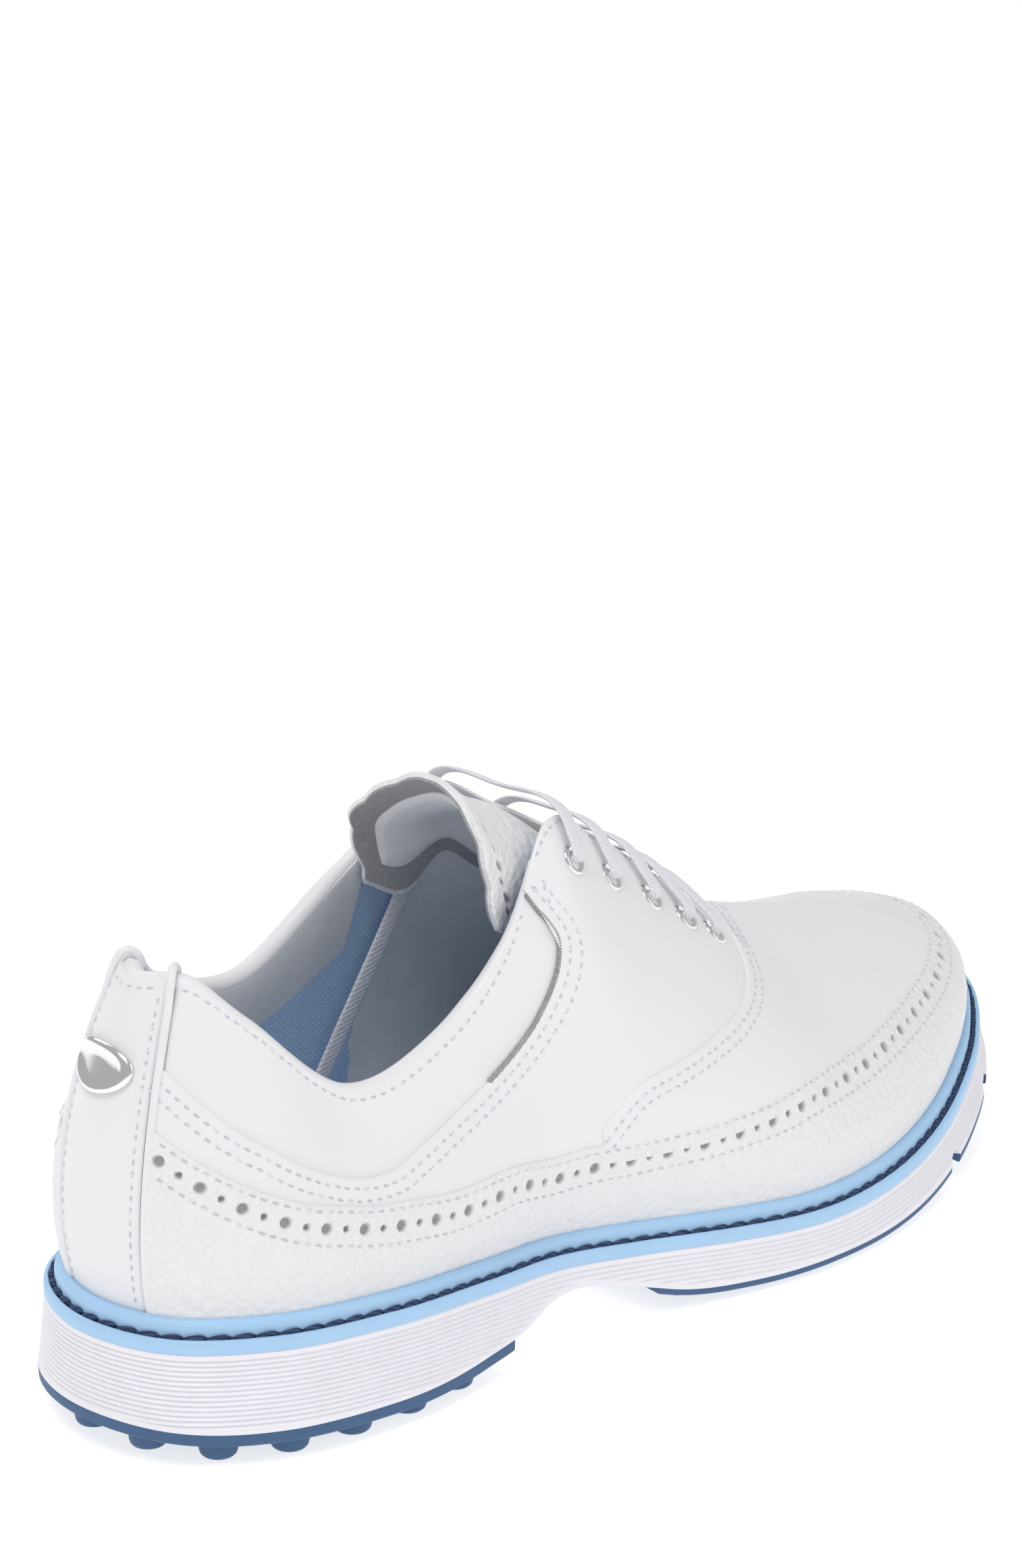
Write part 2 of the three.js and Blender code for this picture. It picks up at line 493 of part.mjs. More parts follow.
// ---------- tongue ----------
// Cross-sections from under the vamp to the free end, each with five points from the lateral edge over
// the crown to the medial edge. Under the facings they follow the facings' inner face.
const TONGUE = { edgeT: 0.8, edgeDepth: 7, nearT: 0.95, nearDepth: 6.8, leather: [0, 1.2], lining: [1.9, 2.6] };
const TONGUE_STATIONS = [[203, 0.5], [190, 1], [176, 2], [160, 3], [145, 4.5], [132, 5.5]];
const TONGUE_FREE = [
  [[119.5, -20, 94], [116, -19.5, 114], [118, -2, 123.5], [115, 17, 113], [119.5, 19.5, 94]],
  [[111, -21.5, 97], [104.5, -21.5, 124], [104.5, -4, 132.6], [101.5, 18, 118.5], [108, 20.5, 99]],
];
function tongueSection(x, crown) {
  const at = (side, t, depth) => inside(loopShare(side, sAtX(side, x, t)), t, depth);
  const near = [-1, 1].map((side) => at(side, TONGUE.nearT, TONGUE.nearDepth));
  const edge = [-1, 1].map((side) => at(side, TONGUE.edgeT, TONGUE.edgeDepth));
  const middle = scale(add(near[0], near[1]), 0.5);
  return [edge[0], near[0], add(middle, UP, crown), near[1], edge[1]];
}
const tongueSections = [...TONGUE_STATIONS.map(([x, crown]) => tongueSection(x, crown)), ...TONGUE_FREE];
const ACROSS = [-1, -0.55, 0, 0.55, 1];
const ALONG = tongueSections.map((_, i) => i / (tongueSections.length - 1));
const FOLD_Z = 116;                    // the flap above this height folds forwards over the laces
function tongueSurface(v, w) {
  const section = ACROSS.map((_, j) => smooth(ALONG, tongueSections.map((one) => one[j]), v));
  return smooth(ACROSS, section, w);
}
function tonguePoint(v, w, depth) {
  const e = 0.01;
  const alongV = add(tongueSurface(Math.min(v + e, 1), w), tongueSurface(Math.max(v - e, 0), w), -1);
  const alongW = add(tongueSurface(v, Math.min(w + e, 1)), tongueSurface(v, Math.max(w - e, -1)), -1);
  return add(tongueSurface(v, w), unit(cross(alongV, alongW)), depth);
}
function tongueSheet(v0, v1, rows, [upper, lower], margin) {
  const columns = 10;
  const grid = (depth) => Array.from({ length: columns + 1 }, (_, j) => {
    const w = lerp(-1, 1, j / columns) * (1 - margin);
    return Array.from({ length: rows + 1 }, (_, i) => tonguePoint(lerp(v0, v1, i / rows), w, depth));
  });
  return sheetFrom(grid(upper), grid(lower));
}
function buildTongue() {
  const below = solidFrom(block(80, 240, -60, 60, 0, FOLD_Z - 0.3));
  const above = solidFrom(block(80, 240, -60, 60, FOLD_Z + 0.3, 200));
  const leather = solidFrom(tongueSheet(0, 1, 13, TONGUE.leather, 0));
  const lining = solidFrom(tongueSheet(0.05, 0.95, 12, TONGUE.lining, 0.1));
  put('tongue_body', geometryOf(leather.intersect(below)), finish.grain);
  put('tongue_flap', geometryOf(leather.intersect(above)), finish.grain);
  put('tongue_body_lining', geometryOf(lining.intersect(below)), finish.lining);
  put('tongue_flap_lining', geometryOf(lining.intersect(above)), finish.lining);
}

// ---------- lace ----------
const eyeletAt = (side, row) => eyelets.find((e) => e.side === side && e.row === row);
const through = (e, h) => add(e.at, e.axis, h);
// A straight bar over the throat, from one side's eyelet to the other's.
function bar(row, from) {
  const a = eyeletAt(from, row), b = eyeletAt(-from, row);
  const middle = scale(add(a.at, b.at), 0.5);
  const rise = 0.16 * Math.abs(a.at[1] - b.at[1]) + 9;
  const crown = add(middle, [0.42 * rise, 0, 0.91 * rise]);
  const over = (e, share) => inside(loopShare(e.side, e.s), lerp(e.t, 1, share), -2.6);
  return [through(a, -4.2), through(a, -0.6), through(a, 1.3), over(a, 0.45), over(a, 0.85), crown,
    over(b, 0.85), over(b, 0.45), through(b, 1.3), through(b, -0.6), through(b, -4.2)];
}
// A hidden run between rows of one side, to one side of the holes.
function run(side, fromRow, toRow, shift) {
  const a = eyeletAt(side, fromRow), b = eyeletAt(side, toRow);
  return [0.2, 0.5, 0.8].map((k) => {
    const u = loopShare(side, lerp(a.s, b.s, k));
    return inside(u, lerp(a.t, b.t, k) + (k === 0.5 ? shift : shift / 3), LACE_DEPTH);
  });
}
function buildLace() {
  const route = [...bar(0, 1), ...run(-1, 0, 2, 0.055), ...bar(2, -1), ...run(1, 2, 4, -0.05), ...bar(4, 1),
    ...run(-1, 4, 3, 0), ...bar(3, -1), ...run(1, 3, 1, 0.055), ...bar(1, 1)];
  put('lace', tube(route, LACE_RADIUS, 190, 6), finish.lace);
}
// The two free ends go down behind the tongue into the shoe and lie on the footbed.
const LACE_END_MEDIAL = [[127, 21.6, 101], [122, 22, 92], [115, 22.2, 81], [107, 22.4, 69], [99, 22.6, 57],
  [91, 22, 46], [83, 19, 37], [74, 13, 32.2], [64, 6, 32.2], [56, -3, 32.6], [53, -12, 32.8], [58, -19, 32.6], [68, -21, 32]];
const LACE_END_LATERAL = [[145, -17, 91.5], [143, -19, 84], [139, -21, 72], [134, -20, 59], [128, -18, 45], [121, -16, 33],
  [111, -13, 27.2], [100, -12, 28.2], [89, -13, 29.6], [79, -13, 30.6]];
function buildLaceEnd(side, route) {
  put(`lace_end_${sideName(side)}`, tube(route, LACE_RADIUS, 40, 8), finish.lace);
  const last = route[route.length - 1], before = route[route.length - 2];
  const axis = unit(add(last, before, -1));
  const aglet = new THREE.CylinderGeometry(AGLET.radius, AGLET.radius, AGLET.length, 10)
    .translate(0, AGLET.length / 2 + 0.3, 0);
  put(`aglet_${sideName(side)}`, aim(aglet, last, axis), finish.foam);
}

// ---------- heel ornament ----------
// A plain oval medallion that follows the heel strip, on two pins.
function buildMedallion() {
  const at = { t: 0.7, halfU: 0.0155, halfT: 0.075 };
  const spokes = 20, rings = 3;
  const grid = (depth) => Array.from({ length: spokes + 1 }, (_, i) => {
    const a = (2 * Math.PI * (i % spokes)) / spokes;
    return Array.from({ length: rings + 1 }, (_, j) => {
      const k = j / rings;
      return inside(k * at.halfU * Math.cos(a), at.t + k * at.halfT * Math.sin(a), depth + 0.5 * k ** 3);
    });
  });
  const outer = grid(-2.4), inner = grid(-0.8), tris = [];
  for (let i = 0; i < spokes; i++) {
    for (let j = 0; j < rings; j++) {
      tris.push(...quad(outer[i][j], outer[i][j + 1], outer[i + 1][j + 1], outer[i + 1][j]));
      tris.push(...quad(inner[i][j], inner[i + 1][j], inner[i + 1][j + 1], inner[i][j + 1]));
    }
    tris.push(...quad(outer[i][rings], inner[i][rings], inner[i + 1][rings], outer[i + 1][rings]));
  }
  put('heel_medallion', facingOut(geometryFrom(tris)), finish.metal);
}

buildSole();
buildUpper();
buildTongue();
buildEyelets();
buildLace();
buildLaceEnd(1, LACE_END_MEDIAL);
buildLaceEnd(-1, LACE_END_LATERAL);
buildMedallion();

export default shoe;
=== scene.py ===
"""A right golf shoe: the visible pieces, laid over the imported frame. Lengths in the helpers are
millimetres in the part's own layout (X from the heel, Z from the ground); to_metres() puts them in
the frame."""
import math

import bmesh
import bpy
import numpy as np
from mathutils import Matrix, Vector


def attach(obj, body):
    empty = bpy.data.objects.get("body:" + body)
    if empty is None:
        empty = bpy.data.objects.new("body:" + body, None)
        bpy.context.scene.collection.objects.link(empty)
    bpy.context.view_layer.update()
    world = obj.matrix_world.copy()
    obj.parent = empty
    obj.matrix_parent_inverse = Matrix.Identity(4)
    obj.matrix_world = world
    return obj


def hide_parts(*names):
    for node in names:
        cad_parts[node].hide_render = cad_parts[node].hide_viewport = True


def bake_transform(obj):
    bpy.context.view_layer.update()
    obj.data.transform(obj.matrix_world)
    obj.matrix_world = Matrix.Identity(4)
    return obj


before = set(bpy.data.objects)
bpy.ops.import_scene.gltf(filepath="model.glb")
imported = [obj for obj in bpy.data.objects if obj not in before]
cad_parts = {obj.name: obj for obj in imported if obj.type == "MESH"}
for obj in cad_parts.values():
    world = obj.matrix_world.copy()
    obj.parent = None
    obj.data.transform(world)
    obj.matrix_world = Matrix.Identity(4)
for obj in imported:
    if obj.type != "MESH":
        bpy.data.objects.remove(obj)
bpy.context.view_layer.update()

# ---------- driving dimensions, as in the part ----------
CENTRE = np.array([153.0, -0.84, 0.0])
SKIRT = 6.2
WELT_RISE = 6.7
WELT_REACH = 5.9
RIDGE_X = 205.5
TOE_GROOVES = (246, 277)
FEATHER_RUN = 345        # millimetres of feather line on one side, heel to toe
RIBS = np.array([
    [8, 0, 22, 0, 106, 6, 24, 12, 20],
    [13, -20, 27, -13, 106, 6, 24, 9, 20],
    [30, -33, 38, -20, 95, 6, 22, 7, 16],
    [58, -39, 60, -27, 75, 5, 18, 5, 12],
    [88, -37.5, 87, -29, 81, 6, 20, 7, 14],
    [114, -35.5, 108, -27, 96, 7, 24, 10, 18],
    [138, -40, 127, -21, 119, 7, 26, 18, 18],
    [162, -47, 151, -12, 108, 7, 24, 22, 15],
    [186, -51.5, 178, -6, 90, 6, 20, 26, 10],
    [210, -50.5, 204, 3, 73, 6, 17, 28, 5],
    [233, -45, 224, 4, 66, 6, 16, 28, 2],
    [255, -36, 238, 5, 62.5, 6, 15, 26, 1],
    [275, -24, 246, 6, 61, 6, 14, 25, 1],
    [291, -8, 250, 6.5, 60, 4, 13, 25, 1],
    [298, 10, 251, 7, 60, 2.5, 13, 26, 1],
    [292.5, 27, 250, 7.2, 60, 3, 12, 24, 1],
    [276, 40, 245, 7, 61, 5, 13, 22, 2],
    [252, 48, 233, 6, 63.5, 5, 15, 22, 3],
    [224, 50, 214, 5, 69, 5, 17, 24, 5],
    [198, 47, 196, 5, 78, 6, 20, 24, 8],
    [170, 39, 170, 10, 96, 7, 24, 22, 12],
    [144, 31, 147, 15, 110, 7, 28, 18, 16],
    [118, 28, 127, 20, 119, 6, 28, 12, 20],
    [92, 28.5, 103, 26, 103, 6, 26, 6, 18],
    [64, 31, 72, 26, 86, 6, 22, 4, 14],
    [34, 30, 42, 20, 95, 6, 24, 6, 18],
    [15, 18, 29, 11, 106, 6, 24, 10, 20],
], float)
TOE_RIB = 14
FEATHER_Z = [(0, 34), (50, 31.5), (100, 26.3), (150, 21.2), (200, 18.1), (240, 21.5), (270, 28.5),
             (300, 37.5)]
SOLE_Z = [(0, 11.5), (15, 8.6), (40, 7.3), (84, 7.3), (96, 9), (106, 12.5), (118, 13), (132, 9.5), (148, 5),
          (165, 3.2), (190, 2.8), (212, 2.9), (230, 4.2), (250, 7.6), (270, 12.5), (290, 18.5), (306, 24)]
MUDGUARD_SEAM = [(0.045, 0.555), (0.079, 0.48), (0.102, 0.44), (0.148, 0.395), (0.187, 0.405), (0.228, 0.4),
                 (0.272, 0.355), (0.331, 0.33), (0.368, 0.285), (0.404, 0.26), (0.435, 0.24), (0.498, 0.255),
                 (0.563, 0.31), (0.6, 0.355), (0.675, 0.42), (0.756, 0.47), (0.856, 0.5), (0.927, 0.535),
                 (1, 0.6)]
COLLAR_SEAM = [(0.049, 0.72), (0.061, 0.685), (0.077, 0.645), (0.102, 0.595), (0.128, 0.56), (0.152, 0.53),
               (0.177, 0.525), (0.203, 0.535), (0.228, 0.555), (0.25, 0.605), (0.283, 0.655), (0.333, 0.69),
               (0.386, 0.7), (0.405, 0.705), (0.417, 0.725), (0.422, 0.765), (0.418, 0.83), (0.412, 0.9),
               (0.406, 1.0)]
VAMP_SEAM = [(0.41, 0.265), (0.45, 0.345), (0.5, 0.405), (0.553, 0.49), (0.591, 0.585), (0.618, 0.695),
             (0.64, 0.83), (0.672, 1.0)]
STRIP_EDGE = 0.043
PIPING_AT = 0.0465
UP = np.array([0.0, 0.0, 1.0])


# ---------- curves and the upper's surface ----------
def smooth(knots, values, at, loop=False):
    k, v, x = np.asarray(knots, float), np.asarray(values, float), np.asarray(at, float)
    if loop:
        k = np.concatenate([k[-2:] - 1, k, k[:3] + 1])
        v = np.concatenate([v[-2:], v, v[:3]])
        x = np.mod(x, 1)
    else:
        x = np.clip(x, k[0], k[-1])
    step = np.diff(k)[:, None]
    secant = np.diff(v, axis=0) / step
    between = (secant[:-1] * step[1:] + secant[1:] * step[:-1]) / (step[:-1] + step[1:])
    slope = np.concatenate([secant[:1], between, secant[-1:]])
    i = np.clip(np.searchsorted(k, x, side="right") - 1, 0, len(k) - 2)
    h = (k[i + 1] - k[i])[:, None]
    t = ((x - k[i]) / h[:, 0])[:, None]
    return ((2 * t**3 - 3 * t**2 + 1) * v[i] + (t**3 - 2 * t**2 + t) * h * slope[i]
            + (3 * t**2 - 2 * t**3) * v[i + 1] + (t**3 - t**2) * h * slope[i + 1])


def profile(table):
    xs, ys = zip(*table)
    return lambda x: smooth(xs, np.array(ys)[:, None], np.atleast_1d(x))[:, 0]


def unit(a):
    return a / np.maximum(np.linalg.norm(a, axis=-1, keepdims=True), 1e-12)


feather_z, sole_z = profile(FEATHER_Z), profile(SOLE_Z)
chords = np.linalg.norm(np.roll(RIBS[:, :2], -1, axis=0) - RIBS[:, :2], axis=1)
LOOP = chords.sum()
KNOTS = np.concatenate([[0], np.cumsum(chords)[:-1]]) / LOOP
TOE = KNOTS[TOE_RIB]


def ribs_at(u):
    rib = smooth(KNOTS, RIBS, u, loop=True)
    along = smooth(KNOTS, RIBS[:, :2], u + 1e-3, loop=True) - smooth(KNOTS, RIBS[:, :2], u - 1e-3, loop=True)
    along = unit(along)
    return rib, np.stack([along[:, 1], -along[:, 0], np.zeros(len(u))], 1)


def ridge_slope(x):
    return -0.36 + 0.0036 * (x - 204)


def upper(u, t):
    """Points of the upper's outer face: t is 0 at the feather line, 1 at the top, negative down the skirt."""
    u, t = np.broadcast_arrays(np.asarray(u, float), np.asarray(t, float))
    shape, u, t = u.shape, u.ravel(), t.ravel()
    rib, out = ribs_at(u)
    on_ridge = rib[:, 2] > RIDGE_X
    run = rib[:, 2] - 204
    ridge = np.stack([rib[:, 2], 3 + 0.081 * run, 73 - 0.36 * run + 0.0018 * run**2], 1)
    top = np.where(on_ridge[:, None], ridge, rib[:, 2:5])
    foot = np.stack([rib[:, 0], rib[:, 1], feather_z(rib[:, 0])], 1)
    tilt = np.where(on_ridge, ridge_slope(rib[:, 2]) * out[:, 0] * rib[:, 7], 0)
    low = foot + out * rib[:, 5:6] + UP * rib[:, 6:7]
    high = top + out * rib[:, 7:8] + UP * (tilt - rib[:, 8])[:, None]
    k = np.clip(t, 0, 1)[:, None]
    q = 1 - k
    p = q**3 * foot + 3 * q * q * k * low + 3 * q * k * k * high + k**3 * top
    return (p + UP * (np.minimum(t, 0) * SKIRT)[:, None]).reshape(*shape, 3)


def normal(u, t):
    u, t = np.broadcast_arrays(np.asarray(u, float), np.asarray(t, float))
    tt = np.clip(t, 0.01, 0.97)
    n = unit(np.cross(upper(u + 1e-3, tt) - upper(u - 1e-3, tt), upper(u, tt + 0.01) - upper(u, tt - 0.01)))
    rib, out = ribs_at(u.ravel())
    at_ridge = ((rib[:, 2] > RIDGE_X).reshape(u.shape)) & (t > 0.985)
    flat = unit(np.stack([-ridge_slope(rib[:, 2]), np.zeros(len(rib)), np.ones(len(rib))], 1))
    flat = flat.reshape(*u.shape, 3)
    n = np.where(at_ridge[..., None], flat, n)
    return np.where((t < 0)[..., None], out.reshape(*u.shape, 3), n)


def inside(u, t, depth):
    return upper(u, t) - normal(u, t) * np.asarray(depth, float)[..., None]


TABLE_S = np.linspace(0, 1, 2001)
LATERAL_TOP = smooth(KNOTS, RIBS, TABLE_S * TOE, loop=True)[:, 2]
MEDIAL_TOP = smooth(KNOTS, RIBS, 1 - TABLE_S * (1 - TOE), loop=True)[:, 2]


def share(side, s):
    """The loop share at s of the way from heel to toe. Both sides' tops are equally far forward at one s."""
    s = np.asarray(s, float)
    if side < 0:
        return s * TOE
    return 1 - (1 - TOE) * np.interp(np.interp(s, TABLE_S, LATERAL_TOP), MEDIAL_TOP, TABLE_S)


def s_at_x(side, x, t):
    s = np.linspace(0.02, 0.98, 1500)
    u = s * TOE if side < 0 else 1 - s * (1 - TOE)
    return np.interp(x, upper(u, np.full(len(s), t))[:, 0], u)


mudguard_t, collar_t, vamp_t = profile(MUDGUARD_SEAM), profile(COLLAR_SEAM[:14]), profile(VAMP_SEAM)


def mudguard_edge(side, s):
    """The mudguard's top edge has the same height on both sides."""
    s = np.atleast_1d(s)
    t = mudguard_t(s)
    if side < 0:
        return t
    height = upper(share(-1, s), t)[:, 2]
    low, high = np.zeros(len(s)), np.full(len(s), 0.95)
    for _ in range(30):
        mid = (low + high) / 2
        under = upper(share(1, s), mid)[:, 2] < height
        low, high = np.where(under, mid, low), np.where(under, high, mid)
    return (low + high) / 2


def to_metres(points):
    return (np.asarray(points, float) - CENTRE) / 1000


# ---------- materials ----------
def material(name, color, roughness, metallic=0.0):
    mat = bpy.data.materials.new(name)
    mat.use_nodes = True
    shader = mat.node_tree.nodes["Principled BSDF"]
    shader.inputs["Base Color"].default_value = (*color, 1)
    shader.inputs["Roughness"].default_value = roughness
    shader.inputs["Metallic"].default_value = metallic
    return mat


class Build:
    """Adds nodes to one material: textures in object space, mixed colours, stacked bumps."""

    def __init__(self, mat):
        self.mat, self.tree = mat, mat.node_tree
        self.shader = self.tree.nodes["Principled BSDF"]
        self.space = self.tree.nodes.new("ShaderNodeTexCoord").outputs["Object"]
        self.bump_from = None

    def node(self, kind, **inputs):
        made = self.tree.nodes.new(kind)
        for key, value in inputs.items():
            socket = made.inputs[key.replace("_", " ")]
            if hasattr(value, "links"):
                self.tree.links.new(value, socket)
            else:
                socket.default_value = value
        return made

    def noise(self, scale, detail=3.0, rough=0.55):
        made = self.node("ShaderNodeTexNoise", Vector=self.space, Scale=scale, Detail=detail, Roughness=rough)
        return made.outputs["Fac"]

    def cells(self, scale, feature="DISTANCE_TO_EDGE"):
        made = self.node("ShaderNodeTexVoronoi", Vector=self.space, Scale=scale)
        made.feature = feature
        return made.outputs["Distance"]

    def wave(self, scale, direction="X", distortion=0.0, vector=None):
        made = self.node("ShaderNodeTexWave", Vector=vector or self.space, Scale=scale, Distortion=distortion)
        made.bands_direction = direction
        return made.outputs["Fac"]

    def attribute(self, name):
        made = self.tree.nodes.new("ShaderNodeAttribute")
        made.attribute_name = name
        return made.outputs["Fac"]

    def remap(self, value, low, high, to_low=0.0, to_high=1.0):
        made = self.tree.nodes.new("ShaderNodeMapRange")
        self.tree.links.new(value, made.inputs["Value"])
        for key, number in (("From Min", low), ("From Max", high), ("To Min", to_low), ("To Max", to_high)):
            made.inputs[key].default_value = number
        return made.outputs["Result"]

    def bump(self, height, strength, distance):
        made = self.tree.nodes.new("ShaderNodeBump")
        self.tree.links.new(height, made.inputs["Height"])
        made.inputs["Strength"].default_value = strength
        made.inputs["Distance"].default_value = distance
        if self.bump_from is not None:
            self.tree.links.new(self.bump_from, made.inputs["Normal"])
        self.bump_from = made.outputs["Normal"]
        self.tree.links.new(self.bump_from, self.shader.inputs["Normal"])

    def color(self, factor, first, second):
        made = self.tree.nodes.new("ShaderNodeMix")
        made.data_type = "RGBA"
        self.tree.links.new(factor, made.inputs[0])
        for index, value in ((6, first), (7, second)):
            if hasattr(value, "links"):
                self.tree.links.new(value, made.inputs[index])
            else:
                made.inputs[index].default_value = (*value, 1)
        self.tree.links.new(made.outputs[2], self.shader.inputs["Base Color"])
        return made.outputs[2]

    def roughness(self, factor, low, high):
        self.tree.links.new(self.remap(factor, 0, 1, low, high), self.shader.inputs["Roughness"])


def smooth_leather():
    b = Build(material("smooth_leather", (0.8, 0.8, 0.83), 0.4))
    b.color(b.noise(45), (0.79, 0.79, 0.815), (0.83, 0.83, 0.85))
    b.roughness(b.noise(220), 0.36, 0.46)
    b.bump(b.noise(28, 2), 0.25, 0.0012)
    b.bump(b.cells(2100), 0.10, 0.00012)
    return b.mat


def grain_leather(name="grain_leather", strength=0.42):
    b = Build(material(name, (0.8, 0.8, 0.8), 0.42))
    b.color(b.remap(b.cells(430), 0, 0.12), (0.77, 0.77, 0.785), (0.81, 0.81, 0.825))
    # The pressed brogue holes are painted dark grey: painted shade standing in for the shade inside the
    # holes.
    hole_shade = b.attribute("hole_shade")
    base = b.shader.inputs["Base Color"].links[0].from_socket
    b.color(hole_shade, base, (0.36, 0.36, 0.38))
    b.roughness(b.noise(300), 0.38, 0.5)
    b.bump(b.remap(b.cells(430, "F1"), 0, 0.75, 1, 0), strength, 0.0009)
    b.bump(b.noise(1800), 0.15, 0.0001)
    return b.mat


def suede():
    b = Build(material("suede", (0.35, 0.35, 0.36), 0.95))
    b.color(b.noise(900, 6, 0.7), (0.22, 0.22, 0.235), (0.62, 0.62, 0.64))
    b.bump(b.noise(1500, 6, 0.7), 0.9, 0.0007)
    return b.mat


def lining_leather():
    b = Build(material("lining_leather", (0.8, 0.8, 0.81), 0.62))
    b.color(b.noise(260, 4), (0.74, 0.74, 0.75), (0.84, 0.84, 0.85))
    b.bump(b.noise(420, 4), 0.35, 0.0004)
    return b.mat


def textile():
    b = Build(material("textile", (0.42, 0.6, 0.84), 0.9))
    weave = b.node("ShaderNodeMath", Value=b.wave(420, "DIAGONAL"))
    b.tree.links.new(b.wave(520, "Z"), weave.inputs[1])
    weave.operation = "MULTIPLY"
    b.color(weave.outputs[0], (0.42, 0.6, 0.86), (0.66, 0.8, 0.96))
    b.bump(weave.outputs[0], 0.5, 0.0004)
    return b.mat


def plain(name, color, roughness, bump_scale, bump_depth, metallic=0.0, spread=0.04):
    b = Build(material(name, color, roughness, metallic))
    dark = tuple(max(0, c * (1 - spread)) for c in color)
    light = tuple(min(1, c * (1 + spread)) for c in color)
    b.color(b.noise(bump_scale / 8), dark, light)
    b.bump(b.noise(bump_scale, 4), 0.4, bump_depth)
    return b.mat


def twisted_thread(name, dark, light):
    b = Build(material(name, light, 0.7))
    strands = b.wave(260, "DIAGONAL", 1.5)
    b.color(strands, dark, light)
    b.bump(strands, 0.6, 0.0003)
    return b.mat


def woven_lace():
    b = Build(material("woven_lace", (0.83, 0.82, 0.87), 0.8))
    uv = b.tree.nodes.new("ShaderNodeUVMap").outputs["UV"]
    across = b.wave(0.55, "X", vector=uv)
    along = b.wave(0.42, "DIAGONAL", vector=uv)
    weave = b.node("ShaderNodeMath", Value=across)
    weave.operation = "MULTIPLY"
    b.tree.links.new(along, weave.inputs[1])
    b.color(weave.outputs[0], (0.76, 0.76, 0.82), (0.9, 0.9, 0.93))
    b.bump(weave.outputs[0], 0.7, 0.0003)
    return b.mat


MAT = {
    "leather": smooth_leather(),
    "grain_leather": grain_leather(),
    "suede": suede(),
    "lining": lining_leather(),
    "textile": textile(),
    "board": plain("board", (0.5, 0.38, 0.24), 0.85, 900, 0.0003),
    "foam": plain("midsole_foam", (0.84, 0.83, 0.88), 0.55, 1200, 0.00008),
    "welt": plain("welt_rubber", (0.39, 0.61, 0.86), 0.5, 700, 0.0001),
    "thread": twisted_thread("navy_thread", (0.008, 0.018, 0.05), (0.03, 0.065, 0.17)),
    "outsole": plain("outsole_rubber", (0.042, 0.105, 0.225), 0.55, 900, 0.00012),
    # Both metals take spread 1.0, so their colour runs in large patches from black to white: painted
    # reflection.
    "metal": plain("polished_metal", (0.78, 0.78, 0.79), 0.14, 60, 0.00001, 1.0),
    "steel": plain("spring_steel", (0.55, 0.55, 0.57), 0.35, 300, 0.00003, 1.0),
    "lace": woven_lace(),
    "plastic": plain("aglet_plastic", (0.82, 0.82, 0.86), 0.2, 200, 0.00001),
    # White thread, coloured lavender-grey and darker than the leather: painted shadow round the stitches.
    "stitch": twisted_thread("white_thread_painted_shade", (0.54, 0.54, 0.6), (0.76, 0.76, 0.82)),
}


# ---------- mesh helpers ----------
def make(name, points, faces, mat, slot, nodes=(), body="shoe", uv=None, sharp=42, weld=0.0, attribute=None):
    """One piece from points in millimetres, riding on a body and standing for the named CAD nodes."""
    mesh = bpy.data.meshes.new(name)
    mesh.from_pydata([tuple(p) for p in to_metres(points)], [], [tuple(int(i) for i in f) for f in faces])
    if uv is not None:
        layer = mesh.uv_layers.new(name="UVMap")
        index = np.empty(len(mesh.loops), int)
        mesh.loops.foreach_get("vertex_index", index)
        layer.data.foreach_set("uv", np.asarray(uv, float)[index].ravel())
    if attribute is not None:
        field = mesh.attributes.new("hole_shade", "FLOAT", "POINT")
        field.data.foreach_set("value", np.asarray(attribute, np.float32))
    made = bmesh.new()
    made.from_mesh(mesh)
    if weld:
        bmesh.ops.remove_doubles(made, verts=made.verts, dist=weld / 1000)
        bmesh.ops.dissolve_degenerate(made, edges=made.edges, dist=1e-7)
    bmesh.ops.recalc_face_normals(made, faces=made.faces)
    made.to_mesh(mesh)
    made.free()
    for one in (mat if isinstance(mat, (list, tuple)) else [mat]):
        mesh.materials.append(one)
    mesh.polygons.foreach_set("use_smooth", [True] * len(mesh.polygons))
    mesh.set_sharp_from_angle(angle=math.radians(sharp))
    obj = bpy.data.objects.new(name, mesh)
    bpy.context.scene.collection.objects.link(obj)
    if body:
        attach(obj, body)
    if nodes:
        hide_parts(*nodes)
    return obj


def run_of(path):
    """Distance travelled at each point of a path."""
    return np.concatenate([[0], np.cumsum(np.linalg.norm(np.diff(path, axis=0), axis=1))])


def ring_faces(n, m, closed_section=False):
    """Faces between n cross-sections of m points that go round in a loop."""
    return [(i * m + j, ((i + 1) % n) * m + j, ((i + 1) % n) * m + (j + 1) % m, i * m + (j + 1) % m)
            for i in range(n) for j in range(m if closed_section else m - 1)]


def loop_caps(n, m):
    """Quads that close the first and last rows of a loop, from one side across to the other."""
    return [(i * m + j, (i + 1) * m + j, ((n - i - 1) % n) * m + j, ((n - i) % n) * m + j)
            for j in (0, m - 1) for i in range(n // 2)]


def grid_faces(columns, rows, start=0, closed=False):
    i, j = np.meshgrid(np.arange(columns if closed else columns - 1), np.arange(rows - 1), indexing="ij")
    a = (i * rows + j).ravel()
    b = (((i + 1) % columns) * rows + j).ravel()
    return np.stack([a, b, b + 1, a + 1], 1) + start


